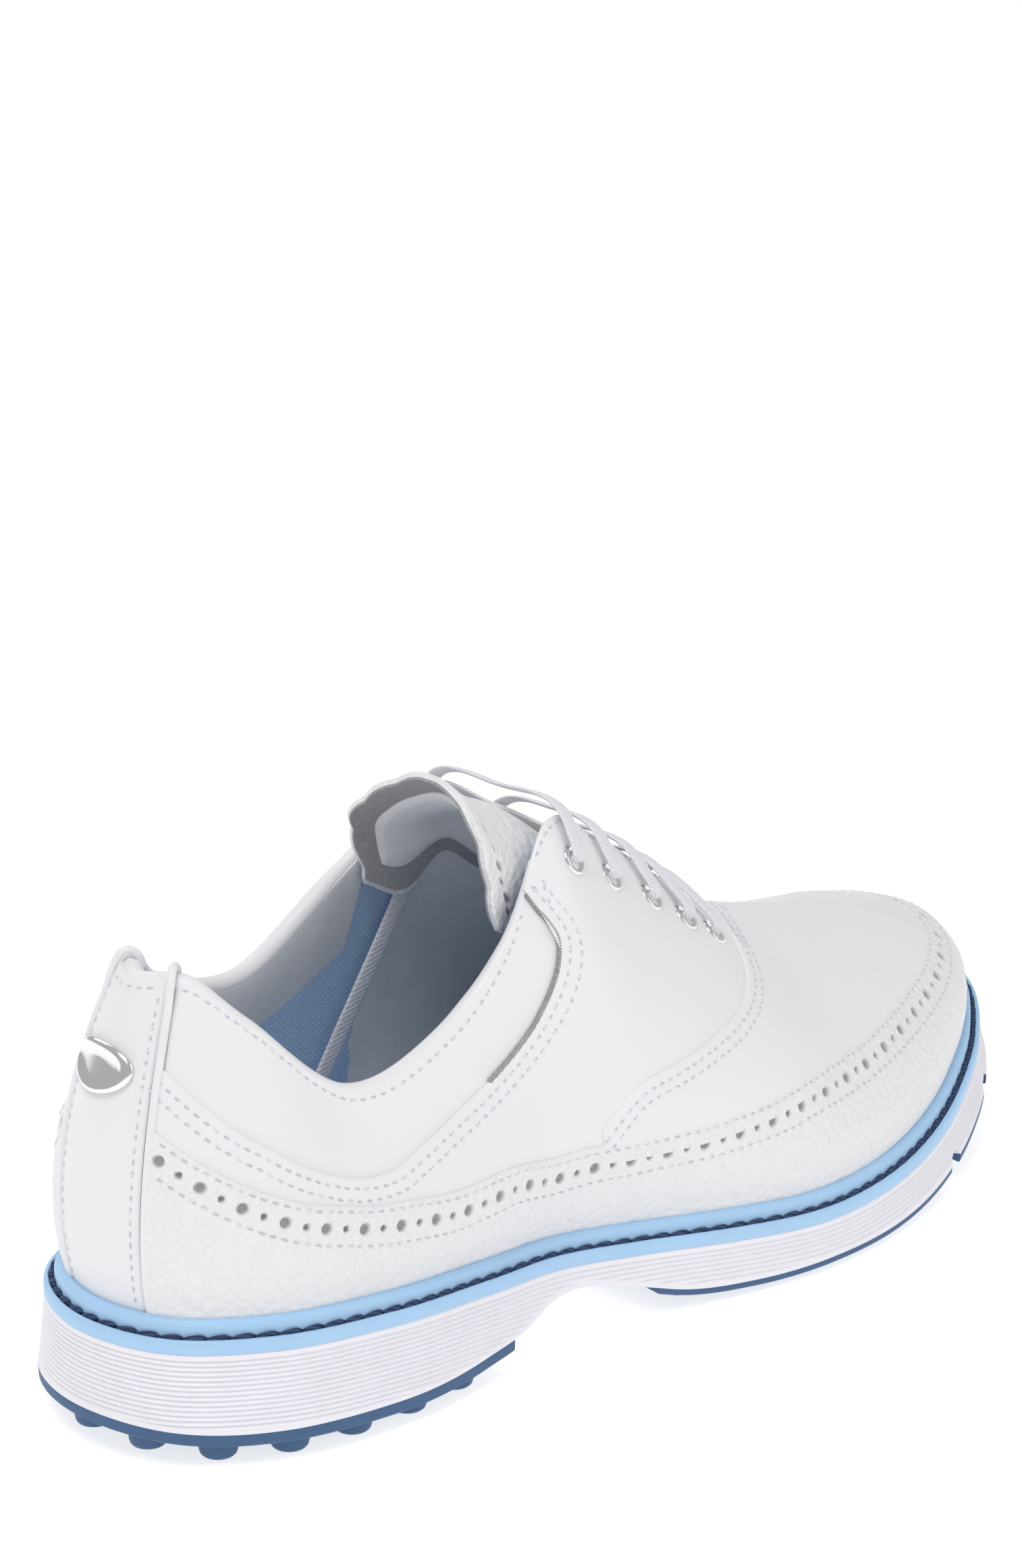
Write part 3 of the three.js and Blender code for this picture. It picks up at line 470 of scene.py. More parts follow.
def thick(outer, inner, skip=None):
    """A closed sheet between two grids of points, columns by rows."""
    n, m = outer.shape[:2]
    points = np.concatenate([outer.reshape(-1, 3), inner.reshape(-1, 3)])
    front = grid_faces(n, m)
    back = grid_faces(n, m, n * m)[:, ::-1]
    rim = [(i * m) for i in range(n)] + [(n - 1) * m + j for j in range(1, m)]
    rim += [i * m + m - 1 for i in range(n - 2, -1, -1)] + [j for j in range(m - 2, 0, -1)]
    rim = np.array(rim)
    after = np.roll(rim, -1)
    wall = np.stack([after, rim, rim + n * m, after + n * m], 1)
    if skip is not None:
        keep = ~(skip.ravel()[rim] & skip.ravel()[after])
        wall = wall[keep]
    return points, np.concatenate([front, back, wall])


def columns_for(start, end, step=2.2, extra=()):
    """Stations along one side, spaced evenly in millimetres of feather line, with more at both ends."""
    count = max(4, int(abs(end - start) * FEATHER_RUN / step))
    s = np.linspace(start, end, count + 1)
    edge = 0.0024 * np.sign(end - start)
    return np.unique(np.concatenate([s, [start + edge / 3, start + edge, end - edge, end - edge / 3], extra]))


def spread(length, step=2.2):
    """Row shares from 0 to 1, closer together by both edges."""
    count = max(4, int(length / step))
    r = np.linspace(0, 1, count + 1)
    near = 0.8 / length
    return np.unique(np.concatenate([r, [near / 3, near, 1 - near, 1 - near / 3]]))


def edge_drop(distance, size=0.8, drop=0.45):
    return drop * (1 - np.clip(distance / size, 0, 1)) ** 2


def panel(side, start, end, low, high, layer, thickness, step=2.2, extra=(), warp=None):
    """Grids of a leather panel on one side; low and high give the t range, layer its depth."""
    s = columns_for(start, end, step, extra)
    t0, t1 = low(s), high(s)
    span = np.linalg.norm(upper(share(side, s), t1) - upper(share(side, s), np.maximum(t0, 0)), axis=1)
    r = spread(max(span.max(), 4), step)
    t = t0[:, None] + (t1 - t0)[:, None] * r[None]
    ss, rr = np.repeat(s[:, None], len(r), 1), np.repeat(r[None], len(s), 0)
    u = share(side, warp(ss, rr) if warp else ss)
    to_top, to_low = (1 - r)[None] * span[:, None], r[None] * span[:, None]
    to_side = np.minimum(abs(s - start), abs(s - end))[:, None] * FEATHER_RUN
    depth = layer + edge_drop(np.minimum(np.minimum(to_top, to_low), to_side))
    return inside(u, t, depth), inside(u, t, np.full(t.shape, layer + thickness))


LAYER = {"collar": 0.5, "quarter": -0.5, "vamp": -1.2, "mudguard": -1.3, "strip": -0.6}
SIDES = ((-1, "lateral"), (1, "medial"))


# ---------- stitches ----------
class Stitches:
    """Collects short threads, lens-shaped along their run, into one mesh."""

    def __init__(self):
        self.points, self.faces = [], []

    def add(self, centre, along, out, length, radius, sink=0.3):
        side = unit(np.cross(along, out))
        base = len(self.points)
        rings = np.linspace(-1, 1, 7)
        for k in rings:
            swell = radius * math.sqrt(max(1 - abs(k) ** 3, 0.02))
            middle = centre + along * (k * length / 2) - out * (sink * radius + 0.5 * radius * k * k)
            for a in np.arange(6) * math.pi / 3:
                self.points.append(middle + swell * (math.cos(a) * side + math.sin(a) * out))
        for i in range(len(rings) - 1):
            for j in range(6):
                k = (j + 1) % 6
                ring = base + 6 * i
                self.faces.append((ring + j, ring + k, ring + 6 + k, ring + 6 + j))
        self.faces.append(tuple(base + j for j in range(5, -1, -1)))
        self.faces.append(tuple(base + 36 + j for j in range(6)))

    def line(self, u, t, depth, pitch=2.7, fill=0.78, radius=0.36):
        """Stitches at an even pitch along a line on the upper's surface."""
        p = inside(u, t, np.full(len(u), depth))
        travelled = run_of(p)
        count = int(travelled[-1] / pitch)
        if count < 1:
            return
        at = (np.arange(count) + 0.5) * travelled[-1] / count
        uu, tt = np.interp(at, travelled, u), np.interp(at, travelled, t)
        out = normal(uu, tt)
        centre = np.stack([np.interp(at, travelled, p[:, k]) for k in range(3)], 1)
        ahead = np.stack([np.interp(at + 0.3, travelled, p[:, k]) - np.interp(at - 0.3, travelled, p[:, k])
                          for k in range(3)], 1)
        for c, a, n in zip(centre, unit(ahead), out):
            self.add(c, a, n, pitch * fill, radius)

    def piece(self, name, mat, slot, nodes=()):
        return make(name, np.array(self.points), self.faces, mat, slot, nodes, sharp=80)


def shifted(side, s, t, along_s, up_mm):
    """Moves a line on the surface by millimetres across the ribs and up them."""
    u = share(side, s)
    length = np.linalg.norm(upper(u, np.ones(len(u))) - upper(u, np.zeros(len(u))), axis=1) * 1.15
    return share(side, s + along_s / FEATHER_RUN), t + up_mm / length


# ---------- upper ----------
def build_panels(stitches):
    for side, name in SIDES:
        collar_low = lambda s: collar_t(np.minimum(s, 0.404)) - 0.06
        top = lambda s: np.full(len(s), 0.985)
        outer, inner = panel(side, 0.048, 0.43, collar_low, top, LAYER["collar"], 1.4)
        make(f"collar_{name}_leather", *thick(outer, inner), MAT["leather"], "leather", [f"collar_{name}"])
        build_quarter(side, name)
        curve = np.array(COLLAR_SEAM)
        dense = np.linspace(0, 1, 400)
        line = smooth(np.linspace(0, 1, len(curve)), curve, dense)
        for offset in (2.4, 5.0):
            u, t = offset_line(side, line[:, 0], line[:, 1], -offset)
            keep = (t < 0.965)
            stitches.line(u[keep], t[keep], LAYER["quarter"])
        s = np.linspace(0.052, 0.4, 300)
        u, t = shifted(side, s, np.full(300, 1.0), 0, -3.5)
        stitches.line(u, t, LAYER["collar"])
        s = np.linspace(0.425, 0.652, 260)
        u, t = shifted(side, s, np.full(260, 1.0), 0, -2.6)
        stitches.line(u, t, LAYER["quarter"])
        vamp_line = np.array(VAMP_SEAM)
        line = smooth(np.linspace(0, 1, len(vamp_line)), vamp_line, np.linspace(0.02, 1, 400))
        for offset in (2.4, 5.0):
            u, t = offset_line(side, line[:, 0], line[:, 1], -offset)
            stitches.line(u, t, LAYER["vamp"])


def build_raw_edges():
    """The cut, unfinished edge of the quarter where it crosses the collar and turns up to the facing."""
    curve = np.array(COLLAR_SEAM)
    line = smooth(np.linspace(0, 1, len(curve)), curve, np.linspace(0.6, 0.985, 260))
    rough = 0.12 * np.sin(np.arange(260) * 2.1) * np.sin(np.arange(260) * 0.73 + 1)
    for side, name in SIDES:
        path = inside(share(side, line[:, 0]), line[:, 1], np.full(260, 0.05))
        points, faces = swept(path, 0.62 + rough, 8)
        make(f"quarter_{name}_cut_edge", points, faces, MAT["suede"], "leather")


def offset_line(side, s, t, distance):
    """Moves a line sideways on the surface: positive is to its left, seen from outside with the toe ahead."""
    u = share(side, s)
    p = upper(u, t)
    along = unit(np.gradient(p, axis=0))
    out = normal(u, t)
    left = unit(np.cross(out, along)) * (1 if side < 0 else -1)
    du = (upper(u + 5e-4, t) - upper(u - 5e-4, t)) / 1e-3
    dt = (upper(u, np.minimum(t + 5e-3, 1)) - upper(u, np.maximum(t - 5e-3, 0))) / 1e-2
    move = left * distance
    a11, a12, a22 = (du * du).sum(1), (du * dt).sum(1), (dt * dt).sum(1)
    b1, b2 = (du * move).sum(1), (dt * move).sum(1)
    det = a11 * a22 - a12**2
    return u + (a22 * b1 - a12 * b2) / det, t + (a11 * b2 - a12 * b1) / det


STEP, STEP_END = 0.4075, 0.44


def rear_edge(s):
    """The quarter's rear edge, from the corner of the collar seam up to the facing's top."""
    edge = np.array(COLLAR_SEAM[13:])
    return smooth(np.linspace(0, 1, len(edge)), edge, (np.ravel(s) - STEP) / (STEP_END - STEP))


def quarter_top(s):
    return np.where(s < STEP, collar_t(np.minimum(s, 0.404)), rear_edge(s)[:, 1])


def quarter_warp(s, r):
    """Leans the columns back at the top, so that their ends follow the rear edge."""
    at_edge = rear_edge(s)[:, 0].reshape(s.shape) - s
    fading = (rear_edge([STEP_END])[0, 0] - STEP_END) * np.clip(1 - (s - STEP_END) / 0.1, 0, 1)
    return s + np.where(s < STEP, 0, np.where(s < STEP_END, at_edge, fading)) * r**2


EYELET_PLACES = ((131, 0.865), (148, 0.855), (163, 0.84), (174.5, 0.815), (185, 0.79))


def eyelet_frames():
    frames = {}
    for side, name in SIDES:
        for row, (x, t) in enumerate(EYELET_PLACES):
            u = np.array([float(s_at_x(side, x, t))])
            frames[side, row] = (u[0], t, upper(u, t)[0], normal(u, t)[0])
    return frames


EYELETS = eyelet_frames()


def build_quarter(side, name):
    low = lambda s: np.where(s < 0.43, mudguard_edge(side, s) - 0.05, vamp_t(np.maximum(s, 0.41)) - 0.09)
    step = np.linspace(STEP, STEP_END, 40)
    outer, inner = panel(side, 0.048, 0.66, low, quarter_top, LAYER["quarter"], 1.5, 1.6, step,
                         quarter_warp)
    # The surface sinks a little round each eyelet, where the flange presses it.
    for row in range(5):
        at, out = EYELETS[side, row][2:]
        distance = np.linalg.norm(outer - at, axis=-1)
        outer = outer - out * (0.5 * np.exp(-(distance / 4.2) ** 2))[..., None]
    make(f"quarter_{name}_leather", *thick(outer, inner), MAT["leather"], "leather", [f"quarter_{name}"])


def round_sheet(name, start, low, high, layer, thickness, mat, slot, nodes, step=2.2, row_step=2.2,
                over_ridge=False, lean=0.0):
    """A sheet from one side round the toe to the other. Its two ends may lean forward at the top."""
    s = columns_for(start, 1.0, step)
    s = s[s <= 1 - 1e-9]
    lateral = np.append(s, 1.0)
    u = np.concatenate([share(-1, lateral), share(1, s[::-1])])
    both = np.concatenate([lateral, s[::-1]])
    side = np.array([-1] * len(lateral) + [1] * len(s))
    t0 = np.concatenate([low(-1, lateral), low(1, s)[::-1]])
    t1 = np.concatenate([high(-1, lateral), high(1, s)[::-1]])
    span = np.linalg.norm(upper(u, t1) - upper(u, np.maximum(t0, 0)), axis=1)
    r = spread(span.max(), row_step)
    t = t0[:, None] + (t1 - t0)[:, None] * r[None]
    leaning = lean * np.clip((t - 0.25) / 0.6, 0, 1) * np.clip(1 - (both[:, None] - start) / 0.12, 0, 1)
    at = both[:, None] + leaning
    uu = np.where(side[:, None] < 0, share(-1, at), share(1, at))
    to_top, to_low = (1 - r)[None] * span[:, None], r[None] * span[:, None]
    ridge = (smooth(KNOTS, RIBS, u, loop=True)[:, 2] > RIDGE_X) & over_ridge
    to_top = np.where(ridge[:, None], 9, to_top)
    to_end = np.minimum(both - start, 9)[:, None] * FEATHER_RUN
    depth = layer + edge_drop(np.minimum(np.minimum(to_top, to_low), to_end))
    outer, inner = inside(uu, t, depth), inside(uu, t, np.full(t.shape, layer + thickness))
    skip = np.zeros(t.shape, bool)
    skip[:, -1] = ridge
    points, faces = thick(outer, inner, skip if over_ridge else None)
    return make(name, points, faces, mat, slot, nodes, weld=0.02 if over_ridge else 0.0)


def build_vamp():
    high = lambda side, s: np.where(s < 0.672, vamp_t(s), 1.0)
    low = lambda side, s: mudguard_edge(side, s) - 0.05
    vamp = round_sheet("vamp_leather", 0.42, low, high, LAYER["vamp"], 1.5, MAT["leather"], "leather",
                       ["vamp"], over_ridge=True)
    # The two halves meet along a ridge, which is faired here.
    made = bmesh.new()
    made.from_mesh(vamp.data)
    front = [v for v in made.verts if v.co.x * 1000 + CENTRE[0] > 196 and v.co.z * 1000 > 52]
    for _ in range(12):
        bmesh.ops.smooth_vert(made, verts=front, factor=0.5, use_axis_x=True, use_axis_y=True,
                              use_axis_z=True)
    made.to_mesh(vamp.data)
    made.free()


def hole_line(side, s):
    """The brogue line, a steady distance under the mudguard's edge."""
    return shifted(side, s, mudguard_edge(side, s), 0, -5.6)[1]


def build_mudguard(stitches):
    """One piece of grain leather round the toe, with its brogue holes pressed in."""
    start = 0.047
    s = np.linspace(start, 1, 760)
    u = np.concatenate([share(-1, s), share(1, s[:-1][::-1])])
    sides = [(-1, s), (1, s[:-1][::-1])]
    edge = np.concatenate([mudguard_edge(side, one) for side, one in sides])
    holes_t = np.concatenate([hole_line(side, one) for side, one in sides])
    length = np.linalg.norm(upper(u, np.ones(len(u))) - upper(u, np.zeros(len(u))), axis=1) * 1.15
    band = np.linspace(-2.6, 2.6, 15)
    lower = np.linspace(0, 1, 16)[:-1]
    higher = np.array([0.45, 0.8, 0.93, 0.985, 1.0])
    t_band = holes_t[:, None] + band[None] / length[:, None]
    t_low = -0.6 + (t_band[:, :1] + 0.6) * lower[None]
    t_high = t_band[:, -1:] + (edge[:, None] - t_band[:, -1:]) * higher[None]
    t = np.concatenate([t_low, t_band, t_high], 1)
    uu = np.repeat(u[:, None], t.shape[1], 1)
    to_top = (edge[:, None] - t) * length[:, None]
    depth = LAYER["mudguard"] + edge_drop(to_top)
    line = upper(u, holes_t)
    run = run_of(line)
    pitch = 5.15
    count = int(run[-1] / pitch)
    centres = (np.arange(count) + 0.5) * run[-1] / count
    middle = np.stack([np.interp(centres, run, line[:, k]) for k in range(3)], 1)
    radius = np.where(np.arange(count) % 2, 0.72, 1.25)
    pressed = np.zeros(t.shape)
    for at, c, r in zip(centres, middle, radius):
        near = np.abs(run - at) < 4
        away = np.linalg.norm(upper(uu[near], t[near]) - c, axis=-1)
        pressed[near] = np.maximum(pressed[near], 1 - np.clip((away - r * 0.72) / (r * 0.5), 0, 1))
    pressed = pressed * pressed * (3 - 2 * pressed)
    outer = inside(uu, t, depth + 1.1 * pressed)
    inner = inside(uu, t, np.full(t.shape, LAYER["mudguard"] + 1.9))
    points, faces = thick(outer, inner)
    # The pressed mask goes to the material too, which paints the holes dark: painted shade in the holes.
    hole_shade_mask = np.concatenate([pressed.ravel(), np.zeros(pressed.size)])
    make("mudguard_grain", points, faces, MAT["grain_leather"], "grain_leather", ["mudguard"],
         attribute=hole_shade_mask)
    for up in (-1.5, -9.6):
        for side, one in ((-1, np.linspace(0.052, 1, 700)), (1, np.linspace(0.052, 1, 700))):
            uu, tt = shifted(side, one, mudguard_edge(side, one), 0, up)
            stitches.line(uu, tt, LAYER["mudguard"], pitch=2.8)


def build_heel_strip(stitches):
    s = np.linspace(-STRIP_EDGE, STRIP_EDGE, 29)
    by_edge = STRIP_EDGE - np.array([0.001, 0.0022])
    s = np.unique(np.concatenate([s, by_edge, -by_edge]))
    u = np.where(s < 0, share(1, -s), share(-1, s))
    t = np.linspace(-0.5, 0.985, 46)
    uu, tt = np.meshgrid(u, t, indexing="ij")
    to_edge = (STRIP_EDGE - np.abs(s))[:, None] * FEATHER_RUN + 0 * tt
    depth = LAYER["strip"] + edge_drop(to_edge)
    outer, inner = inside(uu, tt, depth), inside(uu, tt, np.full(tt.shape, LAYER["strip"] + 1.6))
    make("heel_strip_leather", *thick(outer, inner), MAT["leather"], "leather", ["heel_strip"])
    t = np.linspace(0.02, 0.93, 200)
    for side in (-1, 1):
        edge = share(side, np.full(200, STRIP_EDGE - 0.0055))
        stitches.line(edge, t, LAYER["strip"])
        build_piping(side)
    across = np.linspace(-STRIP_EDGE + 0.009, STRIP_EDGE - 0.009, 60)
    u = np.where(across < 0, share(1, -across) - 1, share(-1, across))
    stitches.line(u, np.full(60, 0.95), LAYER["strip"])


def swept(path, radius, sides=12, close=False, squash=1.0, out=None):
    """Points and faces of a round tube along a path; squash flattens it along out."""
    path = np.asarray(path, float)
    along = unit(np.gradient(path, axis=0))
    ref = out if out is not None else np.tile(UP, (len(path), 1))
    side = unit(np.cross(along, ref))
    up = np.cross(side, along)
    r = np.broadcast_to(radius, len(path))
    a = np.arange(sides) * 2 * math.pi / sides
    ring = (path[:, None] + r[:, None, None] * (np.cos(a)[None, :, None] * side[:, None]
            + squash * np.sin(a)[None, :, None] * up[:, None]))
    faces = []
    for i in range(len(path) - (0 if close else 1)):
        k = (i + 1) % len(path)
        for j in range(sides):
            m = (j + 1) % sides
            faces.append((i * sides + j, k * sides + j, k * sides + m, i * sides + m))
    if not close:
        faces.append(tuple(range(sides - 1, -1, -1)))
        faces.append(tuple((len(path) - 1) * sides + j for j in range(sides)))
    return ring.reshape(-1, 3), faces


def build_piping(side):
    name = "lateral" if side < 0 else "medial"
    t = np.linspace(-0.3, 0.95, 90)
    u = share(side, np.full(90, PIPING_AT))
    path = inside(u, t, np.full(90, -0.35))
    inward = -unit(normal(u[-1:], t[-1:])[0] * [1, 1, 0])
    fold = path[-1] + np.outer((0.4, 1.6, 3.4, 5.0, 5.8), inward) + np.outer((2.3, 4.0, 4.3, 3.0, 0.4), UP)
    path = catmull(np.concatenate([path[::6], fold]), 150)
    across = np.cross(inward, UP)
    points, faces = swept(path, 1.0, 12, out=np.tile(across, (len(path), 1)))
    make(f"piping_{name}_cord", points, faces, MAT["leather"], "leather", [f"piping_{name}"])


def build_topline():
    """The rolled edge round the ankle, from one facing to the other."""
    s = np.linspace(-0.425, 0.425, 420)
    u = np.where(s < 0, share(1, np.abs(s)) - 1, share(-1, np.abs(s)))
    thin = np.clip((np.abs(s) - 0.33) / 0.09, 0, 1)
    radius = 2.45 * (1 - thin) + 1.3 * thin
    path = inside(u, np.full(len(u), 0.975), radius + 0.35)
    points, faces = swept(path, radius, 16)
    make("topline_roll", points, faces, MAT["leather"], "leather")


def build_linings():
    for side, name in SIDES:
        deep = lambda s: 4.1 - 1.7 * np.clip((s - 0.335) / 0.09, 0, 1)
        for piece, mat, slot, low, high, lift in (
            ("collar_lining", "lining", "lining", 0.6, 0.99, 0.0),
            ("quarter_lining", "textile", "textile", -0.9, 0.64, 0.35),
        ):
            s = np.linspace(0, 0.385 if piece == "collar_lining" else 0.52, 120)
            r = np.linspace(0, 1, 30)
            top = high + (0.33 * np.clip((s - 0.33) / 0.05, 0, 1) if piece == "quarter_lining" else 0 * s)
            t = low + (top[:, None] - low) * r[None]
            u = np.repeat(share(side, s)[:, None], len(r), 1)
            bow = np.sin(math.pi * np.clip((t - low) / (high - low), 0, 1)) ** 0.6
            puff = 0.9 * bow if piece == "collar_lining" else 0
            depth = deep(s)[:, None] + lift + puff
            outer, inner = inside(u, t, depth), inside(u, t, depth + 0.9)
            node = f"{piece}_{name}"
            made = make(f"{node}_sheet", *thick(outer, inner), MAT[mat], slot, [node])
    high = lambda side, s: np.where(s < 0.672, 0.985, 1.0)
    low = lambda side, s: np.full(len(s), -0.9)
    round_sheet("vamp_lining_sheet", 0.4, low, high, 3.1, 0.8, MAT["lining"],
                "lining", ["vamp_lining"], step=4, row_step=4, over_ridge=True, lean=0.075)


# ---------- sole ----------
RING_U = np.linspace(0, 1, 781)[:-1]


def ring_points(sections):
    """Rings round the feather line; each section point is [outwards, up] or a function of the outline."""
    rib, out = ribs_at(RING_U)
    base = np.stack([rib[:, 0], rib[:, 1], feather_z(rib[:, 0])], 1)
    return np.stack([base + out * r + UP * h for r, h in sections], 1)


def build_welt():
    corner = [(0.3, -0.5), (0.7, -0.05), (1.4, 0.1), (2.3, 0.0), (2.95, -0.4), (3.3, -1.1), (3.4, -2.2),
              (3.45, -4.3), (3.6, -4.5), (4.5, -4.5), (4.62, -4.3), (4.7, -3.65), (4.85, -3.48),
              (5.45, -3.55), (5.75, -3.8), (5.9, -4.3), (5.9, -6.0), (5.85, -6.68), (0.3, -6.68)]
    grid = ring_points(corner)
    n, m = grid.shape[:2]
    faces = ring_faces(n, m, closed_section=True)
    make("welt_strip", grid.reshape(-1, 3), faces, MAT["welt"], "welt", ["welt"], sharp=60)
    threads = Stitches()
    rib, out = ribs_at(RING_U)
    base = np.stack([rib[:, 0], rib[:, 1], feather_z(rib[:, 0])], 1) + out * 4.05 + UP * -3.5
    closed = np.vstack([base, base[:1]])
    run = run_of(closed)
    outs = np.vstack([out, out[:1]])
    count = int(run[-1] / 5.3)
    for i in range(count):
        at = (i + 0.5) * run[-1] / count
        c, a, o = (np.array([np.interp(at + d, run, data[:, k]) for k in range(3)])
                   for d, data in ((0, closed), (1, closed), (0, outs)))
        along = unit(a - c + UP * 0.16)
        threads.add(c, along, unit(o * 0.6 + UP * 0.8), 6.3, 0.85, sink=0.1)
    threads.piece("welt_stitches", MAT["thread"], "thread", ["welt_thread"])


def sole_bottom(x_rib, x_real):
    z = sole_z(x_rib)
    for groove in TOE_GROOVES:
        z = z + 2.8 * np.clip(1.25 - np.abs(x_real - groove) / 2.2, 0, 1) ** 0.35
    return z


def build_midsole():
    """Foam with fine moulded ribs that run level round its wall."""
    rib, out = ribs_at(RING_U)
    base = np.stack([rib[:, 0], rib[:, 1], np.zeros(len(rib))], 1)
    top = feather_z(rib[:, 0]) - WELT_RISE - 0.05
    bottom = sole_bottom(rib[:, 0], rib[:, 0] + out[:, 0] * 7.5)
    plain_bottom = sole_z(rib[:, 0])
    pitch, lead = 1.15, 1.0
    levels = [0.0, 0.5]
    for k in range(24):
        start = lead + k * pitch
        levels += [start, start + 0.12 * pitch, start + 0.4 * pitch, start + 0.52 * pitch]
    levels = np.array(levels)
    groove = np.zeros(len(levels))
    for k in range(24):
        groove[2 + 4 * k + 2: 2 + 4 * k + 4] = [0.5, 0.5]
    rows = []
    for level, cut in zip(levels, groove):
        z = np.maximum(top - level, bottom)
        share_down = np.clip((top - z) / (top - plain_bottom), 0, 1)
        reach = WELT_REACH - 0.25 + 0.4 * np.clip(level / 0.5, 0, 1) + 2.0 * share_down**1.4
        room = np.clip((z - bottom - 0.6) / 0.8, 0, 1)
        rows.append(base + out * (reach - cut * room)[:, None] + UP * z[:, None])
    for inset in (0.5, 1.4):
        rows.append(base + out * (WELT_REACH + 2.15 - inset) + UP * bottom[:, None])
    rows.insert(0, base - out * 6 + UP * top[:, None])
    rows.append(base - out * 6 + UP * bottom[:, None])
    grid = np.stack(rows, 1)
    n, m = grid.shape[:2]
    faces = ring_faces(n, m) + loop_caps(n, m)
    make("midsole_foam_body", grid.reshape(-1, 3), faces, MAT["foam"], "foam", ["midsole"], weld=0.004,
         sharp=38)


def lug_spots(distance, spacing, x0, x1):
    u = np.linspace(0, 1, 601)
    rib, out = ribs_at(u)
    p = rib[:, :2] + out[:, :2] * distance
    spots, travelled = [], 0.0
    for before, here in zip(p, p[1:]):
        travelled += math.dist(before, here)
        if travelled < spacing or not x0 <= here[0] <= x1:
            continue
        spots.append(tuple(here))
        travelled = 0.0
    return spots


def build_pad(name, x0, x1, thickness, lugs, size):
    """A rubber pad under the foam, with rounded lugs."""
    u = RING_U
    rib, out = ribs_at(u)
    reaches = [(-8, 0.0), (8.0, 0.0), (8.1, 0.4), (8.0, thickness - 0.4), (7.6, thickness), (-8, thickness)]
    gap = 0.02
    rows = []
    for r, down in reaches:
        p = np.stack([rib[:, 0], rib[:, 1], sole_z(rib[:, 0]) - gap - down], 1) + out * r
        rows.append(p)
    grid = np.stack(rows, 1)
    n, m = grid.shape[:2]
    faces = ring_faces(n, m) + loop_caps(n, m)
    points = grid.reshape(-1, 3)
    obj = make(name + "_rubber", points, faces, MAT["outsole"], "outsole", [name])
    made = bmesh.new()
    made.from_mesh(obj.data)
    for limit, way in ((x0, -1), (x1, 1)):
        plane = Vector(((limit - CENTRE[0]) / 1000, 0, 0))
        whole = made.verts[:] + made.edges[:] + made.faces[:]
        cut = bmesh.ops.bisect_plane(made, geom=whole, plane_co=plane,
                                     plane_no=(way, 0, 0), clear_outer=True)
        edges = [e for e in cut["geom_cut"] if isinstance(e, bmesh.types.BMEdge)]
        if edges:
            bmesh.ops.holes_fill(made, edges=edges)
    for x, y in lugs:
        bottom = float(sole_z(x)[0]) - thickness - 0.35
        low = max(0.0, bottom - 4.5)
        add_lug(made, x, y, bottom + 0.8, low, size)
    bmesh.ops.recalc_face_normals(made, faces=made.faces)
    made.to_mesh(obj.data)
    made.free()
    obj.data.polygons.foreach_set("use_smooth", [True] * len(obj.data.polygons))
    obj.data.set_sharp_from_angle(angle=math.radians(38))


def add_lug(made, x, y, top, low, size):
    """A round stud with a rounded tip."""
    height = top - low
    outline = [(4.8, 0), (4.65, 0.3), (4.45, 0.7), (4.2, 0.88), (3.8, 0.97), (3.1, 1.0)]
    rings = []
    for r, k in outline:
        reach, z = r * size, top - height * k
        ring = [made.verts.new(to_metres((x + reach * math.cos(a), y + reach * math.sin(a), z)))
                for a in np.linspace(0, 2 * math.pi, 25)[:-1]]
        rings.append(ring)
    for upper_ring, lower_ring in zip(rings, rings[1:]):
        for j in range(24):
            k = (j + 1) % 24
            made.faces.new((upper_ring[j], lower_ring[j], lower_ring[k], upper_ring[k]))
    made.faces.new(rings[0])
    made.faces.new(rings[-1][::-1])


def build_sole():
    build_welt()
    build_midsole()
    heel = lug_spots(1, 15, 4, 86) + [(34, -8), (34, 9), (54, -9), (54, 10), (74, -8), (74, 9)]
    build_pad("heel_outsole", -20, 93, 3.0, heel, 1.0)
    fore = lug_spots(-2, 16, 150, 236) + [(168, -22), (168, 0), (168, 20), (188, -28), (188, -6), (188, 16),
                                          (208, -26), (208, -4), (208, 18), (226, -14), (226, 10)]
    build_pad("forefoot_outsole", 138, TOE_GROOVES[0] - 3, 1.7, fore, 0.8)
    build_pad("toe_outsole_rear", TOE_GROOVES[0] + 3, TOE_GROOVES[1] - 3, 2.2, [], 1)
    build_pad("toe_outsole_front", TOE_GROOVES[1] + 3, 400, 2.2, [], 1)


# ---------- laces ----------
def ribbon(path, width_dir, width, thick_mm):
    """A flat woven lace with rounded edges, and its UVs in millimetres."""
    path = np.asarray(path, float)
    along = unit(np.gradient(path, axis=0))
    side = unit(width_dir - along * np.sum(width_dir * along, 1, keepdims=True))
    up = np.cross(along, side)
    w = np.broadcast_to(width, len(path)) / 2
    a = np.arange(16) * math.pi / 8
    wide, high = np.sign(np.cos(a)) * np.abs(np.cos(a)) ** 0.7, np.sign(np.sin(a)) * np.abs(np.sin(a)) ** 0.8
    ring = (path[:, None] + w[:, None, None] * wide[None, :, None] * side[:, None]
            + thick_mm / 2 * high[None, :, None] * up[:, None])
    m = len(a)
    faces = [(i * m + j, i * m + (j + 1) % m, (i + 1) * m + (j + 1) % m, (i + 1) * m + j)
             for i in range(len(path) - 1) for j in range(m)]
    faces += [tuple(range(m - 1, -1, -1)), tuple((len(path) - 1) * m + j for j in range(m))]
    run = run_of(path)
    uv = np.stack([np.repeat(run[:, None], m, 1), np.repeat((wide * 2.4)[None], len(path), 0)], -1)
    return ring.reshape(-1, 3), faces, uv.reshape(-1, 2), run[-1]


def catmull(points, count):
    p = np.asarray(points, float)
    run = run_of(p)
    return smooth(run, p, np.linspace(0, run[-1], count))


